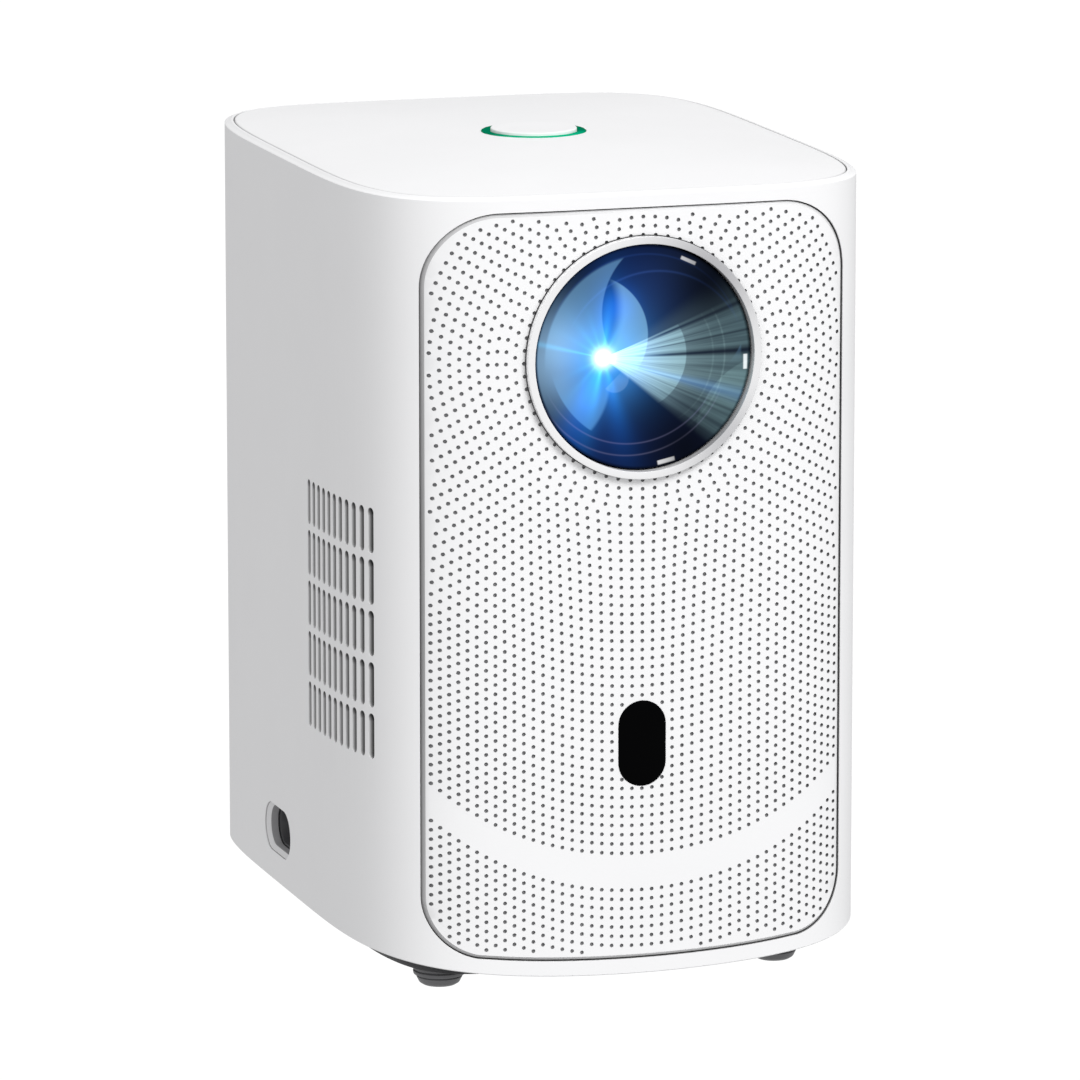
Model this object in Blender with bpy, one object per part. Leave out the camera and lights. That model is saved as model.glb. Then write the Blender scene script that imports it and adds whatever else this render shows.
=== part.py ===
"""Home projector: an upright rounded box with a large lens, a perforated front, a slightly domed lid and four feet.

The front faces -Y, +X is to the right of someone looking at the front, and z = 0 is the surface it stands on.
Lengths are in millimetres until the mesh is made. Each object is one solid, and neighbours keep a small gap.
"""

import math

import bmesh
import bpy
from mathutils import Matrix, Vector

MM = 0.001
GAP = 0.3

# Body
HALF_W, HALF_D = 72.6, 95.9
POWER_X, POWER_Y = 5.0, 4.6
WALL = 2.5
FLOOR_Z = 6.3
RIM_Z = 218.3
EDGE_RISE = 6.8
OUTLINE_POINTS = 64
DOME = 3.4
LID_INSET = 2.8
LID_THICK = 2.5
SEAT_Z = RIM_Z - LID_THICK - 0.9
TRAY_TOP = FLOOR_Z + 5.9

# Front panel
PANEL_HALF = 59.2
PANEL_TOP = 214.1
PANEL_LOW = 10.5
PANEL_R_TOP, PANEL_R_LOW = 20.0, 17.0
PANEL_GAP = 0.3
PANEL_THICK = 2.2

# Lens, on an axis along Y
LENS_Z = 174.1
BEZEL_R, BEZEL_INNER = 32.55, 30.5
SLEEVE_R = 31.4
BARREL_R = 30.0
HOLDER_R = BARREL_R + 0.4
FLANGE_Y = -34.0
RING_Y0, RING_Y1 = -62.0, -54.0

# Focus gears
TOOTH = 1.5
RING_TEETH, PINION_TEETH = 48, 10
PINION_ANGLE = math.radians(225)
PINION_REACH = TOOTH * (RING_TEETH + PINION_TEETH) / 2 + 0.2

# Light path, on a vertical axis behind the lens
PATH_Y = 20.0
BOX_HALF_X, BOX_HALF_Y = 42.0, 26.0
BOX_WALL = 2.2
BOX_Z0, BOX_Z1 = 51.5, 136.0
HOOD_FRONT = -29.7
HOOD_TOP = 210.0

# Window, button and feet
WINDOW_Z, WINDOW_W, WINDOW_H = 69.5, 13.2, 23.2
BUTTON_R = 11.9
RING_PROUD = 0.2
BUTTON_PROUD = 1.05
LIGHT_R0, LIGHT_R1 = 12.2, 14.4
BUTTON_TRAVEL = 0.8
FOOT_X, FOOT_Y = 47.8, 66.4
SCREW_X, SCREW_Y = 56.0, 30.0

# Side vent and inlet, on the left; the vent is repeated on the right
VENT_COLUMNS, VENT_ROWS = 11, 5
VENT_PITCH_Y, VENT_PITCH_Z = 4.45, 14.0
SLOT_W, SLOT_H = 2.3, 12.1
VENT_Y, VENT_Z = -49.6, 98.9
INLET_Y, INLET_Z = 6.1, 28.0
INLET_W, INLET_H = 25.6, 13.4

# Fan, speakers and rear sockets
FAN_X, FAN_Y, FAN_Z = -53.5, -43.5, 99.0
FAN_HALF, FAN_DEEP, FAN_R = 30.0, 15.0, 28.0
BLADES = 7
SPEAKER_X, SPEAKER_Y, SPEAKER_Z = 36.0, -84.0, 46.0
PORT_Z = 82.0
PORT_PLATE_W, PORT_PLATE_H = 64.0, 20.0
HDMI_X, USB_X, AUDIO_X = -18.0, 4.0, 22.0


# ---- materials ----

def material(name, colour, rough=0.5, metal=0.0):
    made = bpy.data.materials.new(name)
    made.use_nodes = True
    shader = made.node_tree.nodes["Principled BSDF"]
    shader.inputs["Base Color"].default_value = (*colour, 1.0)
    shader.inputs["Roughness"].default_value = rough
    shader.inputs["Metallic"].default_value = metal
    made.diffuse_color = (*colour, 1.0)
    return made


def make_materials():
    return {
        "shell": material("white_plastic", (0.86, 0.86, 0.86), 0.45),
        "inner": material("grey_plastic", (0.22, 0.22, 0.23), 0.55),
        "dark": material("black_plastic", (0.02, 0.02, 0.022), 0.4),
        "gloss": material("window_plastic", (0.005, 0.005, 0.006), 0.08),
        "light": material("light_ring", (0.0, 0.30, 0.14), 0.3),
        "rubber": material("foot_rubber", (0.06, 0.06, 0.065), 0.7),
        "chrome": material("bezel_metal", (0.82, 0.83, 0.85), 0.25, 1.0),
        "steel": material("steel", (0.55, 0.55, 0.56), 0.35, 1.0),
        "brass": material("brass", (0.72, 0.52, 0.22), 0.35, 1.0),
        "alu": material("aluminium", (0.70, 0.71, 0.72), 0.4, 1.0),
        "glass": material("lens_glass", (0.05, 0.09, 0.25), 0.05),
        "mirror": material("mirror", (0.90, 0.91, 0.92), 0.03, 1.0),
        "board": material("circuit_board", (0.02, 0.16, 0.07), 0.5),
        "cone": material("speaker_paper", (0.05, 0.05, 0.055), 0.8),
        "pom": material("gear_plastic", (0.75, 0.73, 0.66), 0.5),
    }


# ---- solids ----

def finish(mesh, name, mat, hidden=False):
    """Make an object from a bmesh in millimetres, with its faces turned outwards."""
    bmesh.ops.remove_doubles(mesh, verts=mesh.verts, dist=1e-5)
    bmesh.ops.recalc_face_normals(mesh, faces=mesh.faces)
    bmesh.ops.scale(mesh, vec=(MM, MM, MM), verts=mesh.verts)
    data = bpy.data.meshes.new(name)
    mesh.to_mesh(data)
    mesh.free()
    data.materials.append(mat)
    made = bpy.data.objects.new(name, data)
    bpy.context.scene.collection.objects.link(made)
    if hidden:
        made.hide_render = True
        made.display_type = "WIRE"
    return made


def add_loft(mesh, loops, ring=False):
    """Join loops of equal count with faces, then cap the ends or, as a ring, join the last to the first."""
    rows = [[mesh.verts.new(point) for point in loop] for loop in loops]
    pairs = list(zip(rows, rows[1:])) + ([(rows[-1], rows[0])] if ring else [])
    for low, high in pairs:
        for i in range(len(low)):
            j = (i + 1) % len(low)
            mesh.faces.new((low[i], low[j], high[j], high[i]))
    if not ring:
        mesh.faces.new(rows[0][::-1])
        mesh.faces.new(rows[-1])


def loft(name, loops, mat, ring=False, hidden=False):
    mesh = bmesh.new()
    add_loft(mesh, loops, ring)
    return finish(mesh, name, mat, hidden)


def box(name, low, high, mat, hidden=False):
    """An axis-aligned box between two corners."""
    (x0, y0, z0), (x1, y1, z1) = low, high
    corners = [(x0, y0), (x1, y0), (x1, y1), (x0, y1)]
    return loft(name, [[(x, y, z) for x, y in corners] for z in (z0, z1)], mat, hidden=hidden)


def lathe(name, profile, axis, centre, mat, steps=32, hidden=False):
    """Spin a closed (radius, height) profile about an axis: 'X', 'Y' or 'Z'. Radius 0 closes the solid."""
    place = {
        "X": lambda c, s, h: (h, c, s),
        "Y": lambda c, s, h: (c, h, s),
        "Z": lambda c, s, h: (c, s, h),
    }[axis]
    mesh = bmesh.new()
    rows = []
    for radius, height in profile:
        angles = [2 * math.pi * i / steps for i in range(steps)] if radius > 0 else [0.0]
        row = []
        for angle in angles:
            offset = place(radius * math.cos(angle), radius * math.sin(angle), height)
            row.append(mesh.verts.new(Vector(centre) + Vector(offset)))
        rows.append(row)
    for low, high in zip(rows, rows[1:] + rows[:1]):
        if len(low) == 1 and len(high) == 1:
            continue
        for i in range(steps):
            j = (i + 1) % steps
            corners = [low[i % len(low)], low[j % len(low)], high[j % len(high)], high[i % len(high)]]
            mesh.faces.new(list(dict.fromkeys(corners)))
    return finish(mesh, name, mat, hidden)


def prism(name, outline, axis, start, end, mat, hidden=False):
    """Extrude a flat outline: (y, z) points along X, (x, z) points along Y, or (x, y) points along Z."""
    place = {
        "X": lambda a, b, h: (h, a, b),
        "Y": lambda a, b, h: (a, h, b),
        "Z": lambda a, b, h: (a, b, h),
    }[axis]
    return loft(name, [[place(a, b, h) for a, b in outline] for h in (start, end)], mat, hidden=hidden)


def combine(target, tool, operation="DIFFERENCE"):
    """Apply a Boolean with a hidden tool, then remove the tool."""
    modifier = target.modifiers.new(operation.lower(), "BOOLEAN")
    modifier.operation = operation
    modifier.solver = "EXACT"
    modifier.object = tool
    bpy.context.view_layer.update()
    graph = bpy.context.evaluated_depsgraph_get()
    result = bpy.data.meshes.new_from_object(target.evaluated_get(graph))
    target.modifiers.clear()
    target.data = result
    bpy.data.objects.remove(tool)


def cut(target, *tools):
    for tool in tools:
        combine(target, tool)


def pivot(obj, point):
    """Put an object's own origin at a point in millimetres, without moving its solid."""
    place = Vector(point) * MM
    obj.data.transform(Matrix.Translation(-place))
    obj.location = place
    return obj


def carry(parent, *children):
    """Parent objects to another and leave them where they are."""
    bpy.context.view_layer.update()
    for child in children:
        child.parent = parent
        child.matrix_parent_inverse = parent.matrix_world.inverted()


def stadium(width, height, steps=6):
    """A rounded slot outline about the origin, longest across whichever of width and height is larger."""
    radius = min(width, height) / 2
    shift_a, shift_b = width / 2 - radius, height / 2 - radius
    points = []
    for quarter, (sign_a, sign_b) in enumerate(((1, 1), (-1, 1), (-1, -1), (1, -1))):
        for i in range(steps + 1):
            angle = math.pi / 2 * (quarter + i / steps)
            points.append((sign_a * shift_a + radius * math.cos(angle),
                           sign_b * shift_b + radius * math.sin(angle)))
    return tidy_outline(points)


def tidy_outline(points):
    """Drop points that repeat the one before."""
    kept = []
    for point in points:
        if not kept or math.dist(point, kept[-1]) > 1e-4:
            kept.append(point)
    if math.dist(kept[0], kept[-1]) < 1e-4:
        kept.pop()
    return kept


def moved(outline, across, up):
    return [(a + across, b + up) for a, b in outline]


# ---- body outline ----

def body_point(index, inset):
    """A point of the plan outline, moved inwards by inset along the outline's normal."""
    angle = 2 * math.pi * (index + 0.5) / OUTLINE_POINTS
    cos, sin = math.cos(angle), math.sin(angle)
    x = HALF_W * math.copysign(abs(cos) ** (2 / POWER_X), cos)
    y = HALF_D * math.copysign(abs(sin) ** (2 / POWER_Y), sin)
    slope_x = math.copysign(POWER_X / HALF_W * abs(x / HALF_W) ** (POWER_X - 1), x)
    slope_y = math.copysign(POWER_Y / HALF_D * abs(y / HALF_D) ** (POWER_Y - 1), y)
    size = math.hypot(slope_x, slope_y)
    return x - inset * slope_x / size, y - inset * slope_y / size


def body_loop(inset, height):
    """The plan outline at a height, which is a number or a function of x."""
    points = [body_point(i, inset) for i in range(OUTLINE_POINTS)]
    return [(x, y, height(x) if callable(height) else height) for x, y in points]


def lower_edge(x):
    """The shell's lower edge: a shallow arc that rises towards both sides."""
    return FLOOR_Z + EDGE_RISE * (x / HALF_W) ** 2


def dome_loop(scale, drop):
    """The lid's outline drawn in to scale, at the dome's height less drop."""
    height = RIM_Z + DOME * (1 - scale ** 2) - drop
    return [(x * scale, y * scale, height) for x, y, _ in body_loop(LID_INSET, 0)]


def arc(centre_x, centre_z, radius, start, end, steps=8):
    angles = [math.radians(start + (end - start) * i / steps) for i in range(steps + 1)]
    return [(centre_x + radius * math.cos(a), centre_z + radius * math.sin(a)) for a in angles]


def panel_outline(inset):
    """The front panel seen from the front: round corners, and a lower edge with the shell's arc."""
    half, top = PANEL_HALF - inset, PANEL_TOP - inset
    high, low = PANEL_R_TOP - inset, PANEL_R_LOW - inset

    def bottom(x):
        return PANEL_LOW + inset + EDGE_RISE * (x / HALF_W) ** 2

    side = half - low
    right = arc(side, bottom(side) + low, low, -80, 0)
    left = [(-x, z) for x, z in reversed(right)]
    top_right = arc(half - high, top - high, high, 0, 90)
    top_left = [(-x, z) for x, z in reversed(top_right)]
    steps = 6
    floor = [side * (2 * i / steps - 1) for i in range(1, steps)]
    return tidy_outline(left + [(x, bottom(x)) for x in floor] + right + top_right + top_left)


def curved_sheet(name, outer, inner, outline, mat):
    """The part of the body's front wall between two insets that lies within an outline."""
    sheet = loft(name, [body_loop(outer, FLOOR_Z - 5), body_loop(outer, RIM_Z + 5),
                        body_loop(inner, RIM_Z + 5), body_loop(inner, FLOOR_Z - 5)], mat, ring=True)
    combine(sheet, prism("keep", outline, "Y", -HALF_D - 10, -40, mat, hidden=True), "INTERSECT")
    return sheet


# ---- outer parts ----

def vent_cutters(side, mat):
    """One hidden object that holds every slot of a side's vent."""
    mesh = bmesh.new()
    shape = stadium(SLOT_W, SLOT_H, 1)
    for column in range(VENT_COLUMNS):
        for row in range(VENT_ROWS):
            y = VENT_Y + (column - (VENT_COLUMNS - 1) / 2) * VENT_PITCH_Y
            z = VENT_Z + (row - (VENT_ROWS - 1) / 2) * VENT_PITCH_Z
            slot = moved(shape, y, z)
            add_loft(mesh, [[(x, a, b) for a, b in slot] for x in (side * 58.0, side * (HALF_W + 5))])
    return finish(mesh, "slots", mat, hidden=True)


def make_shell(mats):
    """The one-piece wrap, with a lid seat, four screw posts and every opening."""
    mat = mats["shell"]
    shell = loft("main_shell", [
        body_loop(0, lower_edge), body_loop(0, RIM_Z - 1.4), body_loop(0.4, RIM_Z - 0.4),
        body_loop(1.3, RIM_Z), body_loop(WALL, RIM_Z), body_loop(WALL, SEAT_Z), body_loop(WALL + 1.8, SEAT_Z),
        body_loop(WALL + 1.8, SEAT_Z - 1.4), body_loop(WALL, SEAT_Z - 3.4), body_loop(WALL, lower_edge),
    ], mat, ring=True)
    for side_x in (-1, 1):
        for side_y in (-1, 1):
            x, y = side_x * SCREW_X, side_y * SCREW_Y
            post = lathe("post", [(3.8, 9.7), (3.8, 36), (0, 36), (0, 9.7)], "Z", (x, y, 0), mat, 12, True)
            near, far = sorted((x, side_x * (HALF_W - 1)))
            web = box("web", (near, y - 1.2, 15), (far, y + 1.2, 35.5), mat, hidden=True)
            combine(shell, post, "UNION")
            combine(shell, web, "UNION")
            hole = lathe("hole", [(1.75, 5), (1.75, 24), (0, 24), (0, 5)], "Z", (x, y, 0), mat, 12, True)
            cut(shell, hole)
    cut(shell,
        prism("front", panel_outline(0), "Y", -HALF_D - 10, -60, mat, hidden=True),
        prism("inlet", moved(stadium(INLET_W + 2 * GAP, INLET_H + 2 * GAP), INLET_Y, INLET_Z),
              "X", -HALF_W - 5, -60, mat, hidden=True),
        box("ports", (-PORT_PLATE_W / 2 - GAP, 80, PORT_Z - PORT_PLATE_H / 2 - GAP),
            (PORT_PLATE_W / 2 + GAP, HALF_D + 5, PORT_Z + PORT_PLATE_H / 2 + GAP), mat, hidden=True),
        vent_cutters(-1, mat), vent_cutters(1, mat))
    return shell


def make_lid(mats):
    edge_top, edge_low = RIM_Z - 0.4, RIM_Z - LID_THICK
    under = [dome_loop(s, LID_THICK + 0.4) for s in (0.12, 0.5, 0.85)]
    over = [dome_loop(s, 0) for s in (0.992, 0.85, 0.5, 0.12)]
    lid = loft("top_lid", under + [body_loop(LID_INSET, edge_low), body_loop(LID_INSET, edge_top)] + over,
               mats["shell"])
    radius = LIGHT_R1 + GAP
    cut(lid, lathe("hole", [(radius, 200), (radius, 240), (0, 240), (0, 200)], "Z", (0, 0, 0),
                   mats["shell"], 40, True))
    return lid


def make_button(mats):
    top = RIM_Z + DOME - 0.1
    light_low = top - 5.0
    cap = top + BUTTON_PROUD
    button = lathe("power_button", [
        (2.0, top - 3.7), (2.0, top - 3.0), (BUTTON_R, top - 3.0), (BUTTON_R, cap - 0.5),
        (BUTTON_R - 0.5, cap), (9.0, cap - 0.15), (0, cap - 0.2), (0, top - 3.7),
    ], "Z", (0, 0, 0), mats["shell"], 40)
    pivot(button, (0, 0, cap))
    lathe("button_light_ring", [
        (LIGHT_R0, light_low), (16.5, light_low), (16.5, light_low + 1.7), (LIGHT_R1, light_low + 1.7),
        (LIGHT_R1, top + RING_PROUD), (LIGHT_R0, top + RING_PROUD),
    ], "Z", (0, 0, 0), mats["light"], 40)
    box("button_board", (-15, -10, top - 8.5), (15, 10, top - 7.3), mats["board"])
    switch_low = top - 7.0
    loft("tact_switch", [
        square(3.0, switch_low), square(3.0, switch_low + 1.8), square(1.5, switch_low + 1.8),
        square(1.5, top - 3.7 - BUTTON_TRAVEL - 0.1),
    ], mats["dark"])


def square(half, z, x=0.0, y=0.0):
    return [(x - half, y - half, z), (x + half, y - half, z), (x + half, y + half, z), (x - half, y + half, z)]


def lens_hole(radius, mat):
    return lathe("hole", [(radius, -120), (radius, -60), (0, -60), (0, -120)], "Y", (0, 0, LENS_Z), mat, 48, True)


def window_hole(grow, mat):
    shape = moved(stadium(WINDOW_W + 2 * grow, WINDOW_H + 2 * grow, 8), 0, WINDOW_Z)
    return prism("hole", shape, "Y", -120, -60, mat, hidden=True)


def make_front(mats):
    """The perforated panel, the frame behind it, the lens bezel and the receiver window."""
    mat = mats["shell"]
    panel = curved_sheet("front_grille", 0, PANEL_THICK, panel_outline(PANEL_GAP), mat)
    cut(panel, lens_hole(SLEEVE_R + GAP, mat), window_hole(GAP, mat))
    frame = curved_sheet("front_frame", WALL + GAP, WALL + GAP + 1.6, panel_outline(-4), mats["inner"])
    combine(frame, box("span", (-HALF_W, -HALF_D, TRAY_TOP + GAP), (HALF_W, -40, SEAT_Z - 3.7), mat, hidden=True),
            "INTERSECT")
    cut(frame, lens_hole(SLEEVE_R + GAP, mat), window_hole(GAP, mat))
    for side in (-1, 1):
        cut(frame, lathe("hole", [(17, -120), (17, -60), (0, -60), (0, -120)], "Y",
                         (side * SPEAKER_X, 0, SPEAKER_Z), mat, 32, True))
    face = -HALF_D
    lathe("lens_bezel", [
        (BEZEL_INNER, face + 8), (BEZEL_INNER, face - 1.6), (BEZEL_INNER + 0.3, face - 2.1),
        (BEZEL_R - 0.4, face - 2.1), (BEZEL_R, face - 1.7), (BEZEL_R, face - GAP),
        (SLEEVE_R, face - GAP), (SLEEVE_R, face + 8),
    ], "Y", (0, 0, LENS_Z), mats["chrome"], 48)
    shape = moved(stadium(WINDOW_W, WINDOW_H, 8), 0, WINDOW_Z)
    prism("ir_window", shape, "Y", face - 0.3, face + 4.5, mats["gloss"])
    y = face + 8
    low, high = WINDOW_Z - 10, WINDOW_Z + 10
    loft("ir_receiver", [
        [(-6, h, low), (6, h, low), (6, h, high), (-6, h, high)] for h in (y + 1.2, y)
    ] + [
        [(-half, h, WINDOW_Z - half), (half, h, WINDOW_Z - half),
         (half, h, WINDOW_Z + half), (-half, h, WINDOW_Z + half)] for half, h in ((3, y), (2.2, y - 2.5))
    ], mats["board"])


def make_base(mats):
    """The tray that closes the bottom, its screws, the tripod insert and the feet."""
    mat = mats["dark"]
    tray = loft("base_plate", [
        body_loop(10.5, FLOOR_Z), body_loop(WALL + 0.9, TRAY_TOP),
        body_loop(WALL + 3.5, TRAY_TOP), body_loop(12.2, FLOOR_Z + 2.9),
    ], mat)
    cut(tray, lathe("hole", [(5.3, 0), (5.3, 20), (0, 20), (0, 0)], "Z", (0, 0, 0), mat, 32, True))
    for side_x, across in ((-1, "left"), (1, "right")):
        for side_y, along in ((-1, "front"), (1, "rear")):
            x, y = side_x * SCREW_X, side_y * SCREW_Y
            cut(tray, lathe("hole", [(3.3, 0), (3.3, FLOOR_Z + 1.9), (1.75, FLOOR_Z + 1.9), (1.75, 20),
                                     (0, 20), (0, 0)], "Z", (x, y, 0), mat, 14, True))
            make_screw(f"base_screw_{along}_{across}", x, y, mats["steel"])
            x, y = side_x * FOOT_X, side_y * FOOT_Y
            cut(tray, lathe("hole", [(3.0, 0), (3.0, 20), (0, 20), (0, 0)], "Z", (x, y, 0), mat, 12, True))
            make_foot(f"foot_{along}_{across}", x, y, mats["rubber"])
    lathe("tripod_insert", [
        (3.2, FLOOR_Z), (5.0, FLOOR_Z), (5.0, FLOOR_Z + 3.2), (6.2, FLOOR_Z + 3.2), (6.2, FLOOR_Z + 5.5),
        (0, FLOOR_Z + 5.5), (0, FLOOR_Z + 4.7), (3.2, FLOOR_Z + 4.7),
    ], "Z", (0, 0, 0), mats["brass"], 32)


def make_screw(name, x, y, mat):
    head = FLOOR_Z + 0.1
    lathe(name, [
        (0, head + 0.8), (1.1, head + 0.8), (1.1, head), (2.4, head), (2.9, head + 0.5), (2.9, head + 1.5),
        (1.4, head + 1.5), (1.4, head + 14), (0, head + 15),
    ], "Z", (x, y, 0), mat, 12)


def make_foot(name, x, y, mat):
    """A round rubber foot: a wide flange, a stepped dome below it and a stem pressed into the tray."""
    lathe(name, [
        (0, 0), (3.4, 0), (4.9, 0.7), (5.9, 3.4), (6.3, 3.9), (7.3, 4.0), (7.3, FLOOR_Z - GAP),
        (2.7, FLOOR_Z - GAP), (2.7, FLOOR_Z + 2.5), (0, FLOOR_Z + 2.5),
    ], "Z", (x, y, 0), mat, 20)


def make_inlet(mats):
    """A two-pin power inlet, set into the left side near the bottom."""
    outer_x, depth = -HALF_W + 0.6, 21.0
    chamfer, step = 0.9, 3.1
    body = loft("ac_inlet", [
        [(outer_x, *p) for p in moved(stadium(INLET_W, INLET_H), INLET_Y, INLET_Z)],
        [(outer_x + depth, *p) for p in moved(stadium(INLET_W, INLET_H), INLET_Y, INLET_Z)],
    ], mats["inner"])
    socket = loft("socket", [
        [(outer_x - 1, *p) for p in moved(stadium(INLET_W - 1.2, INLET_H - 1.2), INLET_Y, INLET_Z)],
        [(outer_x + 0.01, *p) for p in moved(stadium(INLET_W - 1.2, INLET_H - 1.2), INLET_Y, INLET_Z)],
        [(outer_x + chamfer, *p) for p in moved(stadium(23.4, 11.4), INLET_Y, INLET_Z)],
        [(outer_x + step, *p) for p in moved(stadium(23.4, 11.4), INLET_Y, INLET_Z)],
        [(outer_x + step, *p) for p in moved(stadium(20.6, 10.0), INLET_Y, INLET_Z)],
        [(outer_x + 5.0, *p) for p in moved(stadium(20.6, 10.0), INLET_Y, INLET_Z)],
    ], mats["inner"], hidden=True)
    well = prism("well", moved(stadium(16.8, 9.0), INLET_Y, INLET_Z), "X", outer_x + 2, outer_x + 18,
                 mats["inner"], hidden=True)
    cut(body, socket, well)
    for name, shift in (("ac_pin_front", -4.3), ("ac_pin_rear", 4.3)):
        cut(body, lathe("hole", [(1.5, -60), (1.5, -40), (0, -40), (0, -60)], "X",
                        (0, INLET_Y + shift, INLET_Z), mats["inner"], 16, True))
        lathe(name, [(0, outer_x + 7.4), (0.8, outer_x + 7.4), (1.2, outer_x + 8.2), (1.2, outer_x + depth + 3),
                     (0, outer_x + depth + 3)], "X", (0, INLET_Y + shift, INLET_Z), mats["brass"], 16)


def socket_shell(name, x, width, height, mat):
    """A metal socket open to the rear, with walls 0.7 thick."""
    front, back = 82.0, HALF_D - 0.8
    shell = box(name, (x - width / 2, front, PORT_Z - height / 2), (x + width / 2, back, PORT_Z + height / 2), mat)
    cut(shell, box("well", (x - width / 2 + 0.7, front + 1.5, PORT_Z - height / 2 + 0.7),
                   (x + width / 2 - 0.7, back + 5, PORT_Z + height / 2 - 0.7), mat, hidden=True))
    return shell


def make_rear(mats):
    """The plate over the rear sockets, and the sockets."""
    mat = mats["dark"]
    low = (-PORT_PLATE_W / 2, HALF_D - 2.3, PORT_Z - PORT_PLATE_H / 2)
    high = (PORT_PLATE_W / 2, HALF_D - 0.5, PORT_Z + PORT_PLATE_H / 2)
    plate = box("rear_port_plate", low, high, mat)
    sizes = {"hdmi_port": (HDMI_X, 15.4, 6.4), "usb_port": (USB_X, 14.0, 7.0)}
    for name, (x, width, height) in sizes.items():
        half_w, half_h = width / 2 + GAP, height / 2 + GAP
        cut(plate, box("hole", (x - half_w, 80, PORT_Z - half_h), (x + half_w, 100, PORT_Z + half_h),
                       mat, hidden=True))
        socket_shell(name, x, width, height, mats["steel"])
    cut(plate, lathe("hole", [(3.3, 80), (3.3, 100), (0, 100), (0, 80)], "Y", (AUDIO_X, 0, PORT_Z), mat, 24, True))
    back = HALF_D - 0.8
    lathe("audio_jack", [(1.8, back), (3.0, back), (3.0, 82), (0, 82), (0, 84), (1.8, 84)], "Y",
          (AUDIO_X, 0, PORT_Z), mats["dark"], 24)


# ---- optics ----

def make_light_path(mats):
    """Lamp, condenser, glass, lenses and display in an upright tube, and a mirror above it."""
    y0, y1 = PATH_Y - BOX_HALF_Y, PATH_Y + BOX_HALF_Y

    def rect(grow, z):
        x = BOX_HALF_X + grow
        return [(-x, y0 - grow, z), (x, y0 - grow, z), (x, y1 + grow, z), (-x, y1 + grow, z)]

    loft("optical_box", [rect(BOX_WALL, BOX_Z0), rect(BOX_WALL, BOX_Z1), rect(0, BOX_Z1), rect(0, BOX_Z0)],
         mats["dark"], ring=True)
    plates = (("heat_glass", 82, 1.5, "glass"), ("fresnel_lower", 96, 2.0, "glass"),
              ("lcd_panel", 106, 2.6, "gloss"), ("fresnel_upper", 116, 2.0, "glass"))
    for name, z, thick, slot in plates:
        box(name, (-BOX_HALF_X + GAP, y0 + GAP, z), (BOX_HALF_X - GAP, y1 - GAP, z + thick), mats[slot])
    lathe("condenser_lens", [(0, 58), (24, 58), (24, 61), (21, 65), (15, 68.6), (8, 70.6), (0, 71.2)], "Z",
          (0, PATH_Y, 0), mats["glass"], 40)
    loft("led_module", [square(20, 48.3, 0, PATH_Y), square(20, 50.2, 0, PATH_Y), square(8, 50.2, 0, PATH_Y),
                        square(8, 51.0, 0, PATH_Y)], mats["brass"])
    make_heat_sink("heat_sink", -42, 42, y0 - 2, y1 + 2, 14, 48, mats["alu"])


def make_heat_sink(name, x0, x1, y0, y1, z0, z1, mat, fins=11, fin=1.8, base=5.0):
    """A comb with its base on top and fins that hang down, extruded along Y."""
    step = (x1 - x0 - fin) / (fins - 1)
    outline = [(x1, z1), (x0, z1)]
    for i in range(fins):
        left = x0 + i * step
        outline += [(left, z1 - base), (left, z0), (left + fin, z0), (left + fin, z1 - base)]
    return prism(name, outline[:2] + outline[3:-1], "Y", y0, y1, mat)


def make_mirror(mats):
    """The mirror at 45 degrees and the hood that carries it above the tube, open below and to the lens."""
    mat = mats["dark"]
    half = BOX_HALF_X + BOX_WALL
    back = PATH_Y + BOX_HALF_Y + BOX_WALL
    low = BOX_Z1 + GAP
    face = PATH_Y + LENS_Z
    outer = face + 6.4
    hood = prism("mirror_hood", [
        (HOOD_FRONT, low), (back, low), (back, outer - back), (outer - HOOD_TOP, HOOD_TOP), (HOOD_FRONT, HOOD_TOP),
    ], "X", -half, half, mat)
    inner = outer - 2.9
    inside = prism("inside", [
        (HOOD_FRONT - 5, low + 2.2), (back - 2.2, low + 2.2), (back - 2.2, inner - back + 2.2),
        (inner - HOOD_TOP + 2.2, HOOD_TOP - 2.2), (HOOD_FRONT - 5, HOOD_TOP - 2.2),
    ], "X", -BOX_HALF_X, BOX_HALF_X, mat, hidden=True)
    mouth = box("mouth", (-BOX_HALF_X, PATH_Y - BOX_HALF_Y, low - 5), (BOX_HALF_X, back - 2.2, low + 5),
                mat, hidden=True)
    cut(hood, inside, mouth)
    glass = 2.0 * math.sqrt(2)
    prism("fold_mirror", [
        (PATH_Y + 25, face - PATH_Y - 25), (PATH_Y + 25, face - PATH_Y - 25 + glass),
        (PATH_Y - 28, face - PATH_Y + 28 + glass), (PATH_Y - 28, face - PATH_Y + 28),
    ], "X", -BOX_HALF_X + GAP, BOX_HALF_X - GAP, mats["mirror"])


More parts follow.
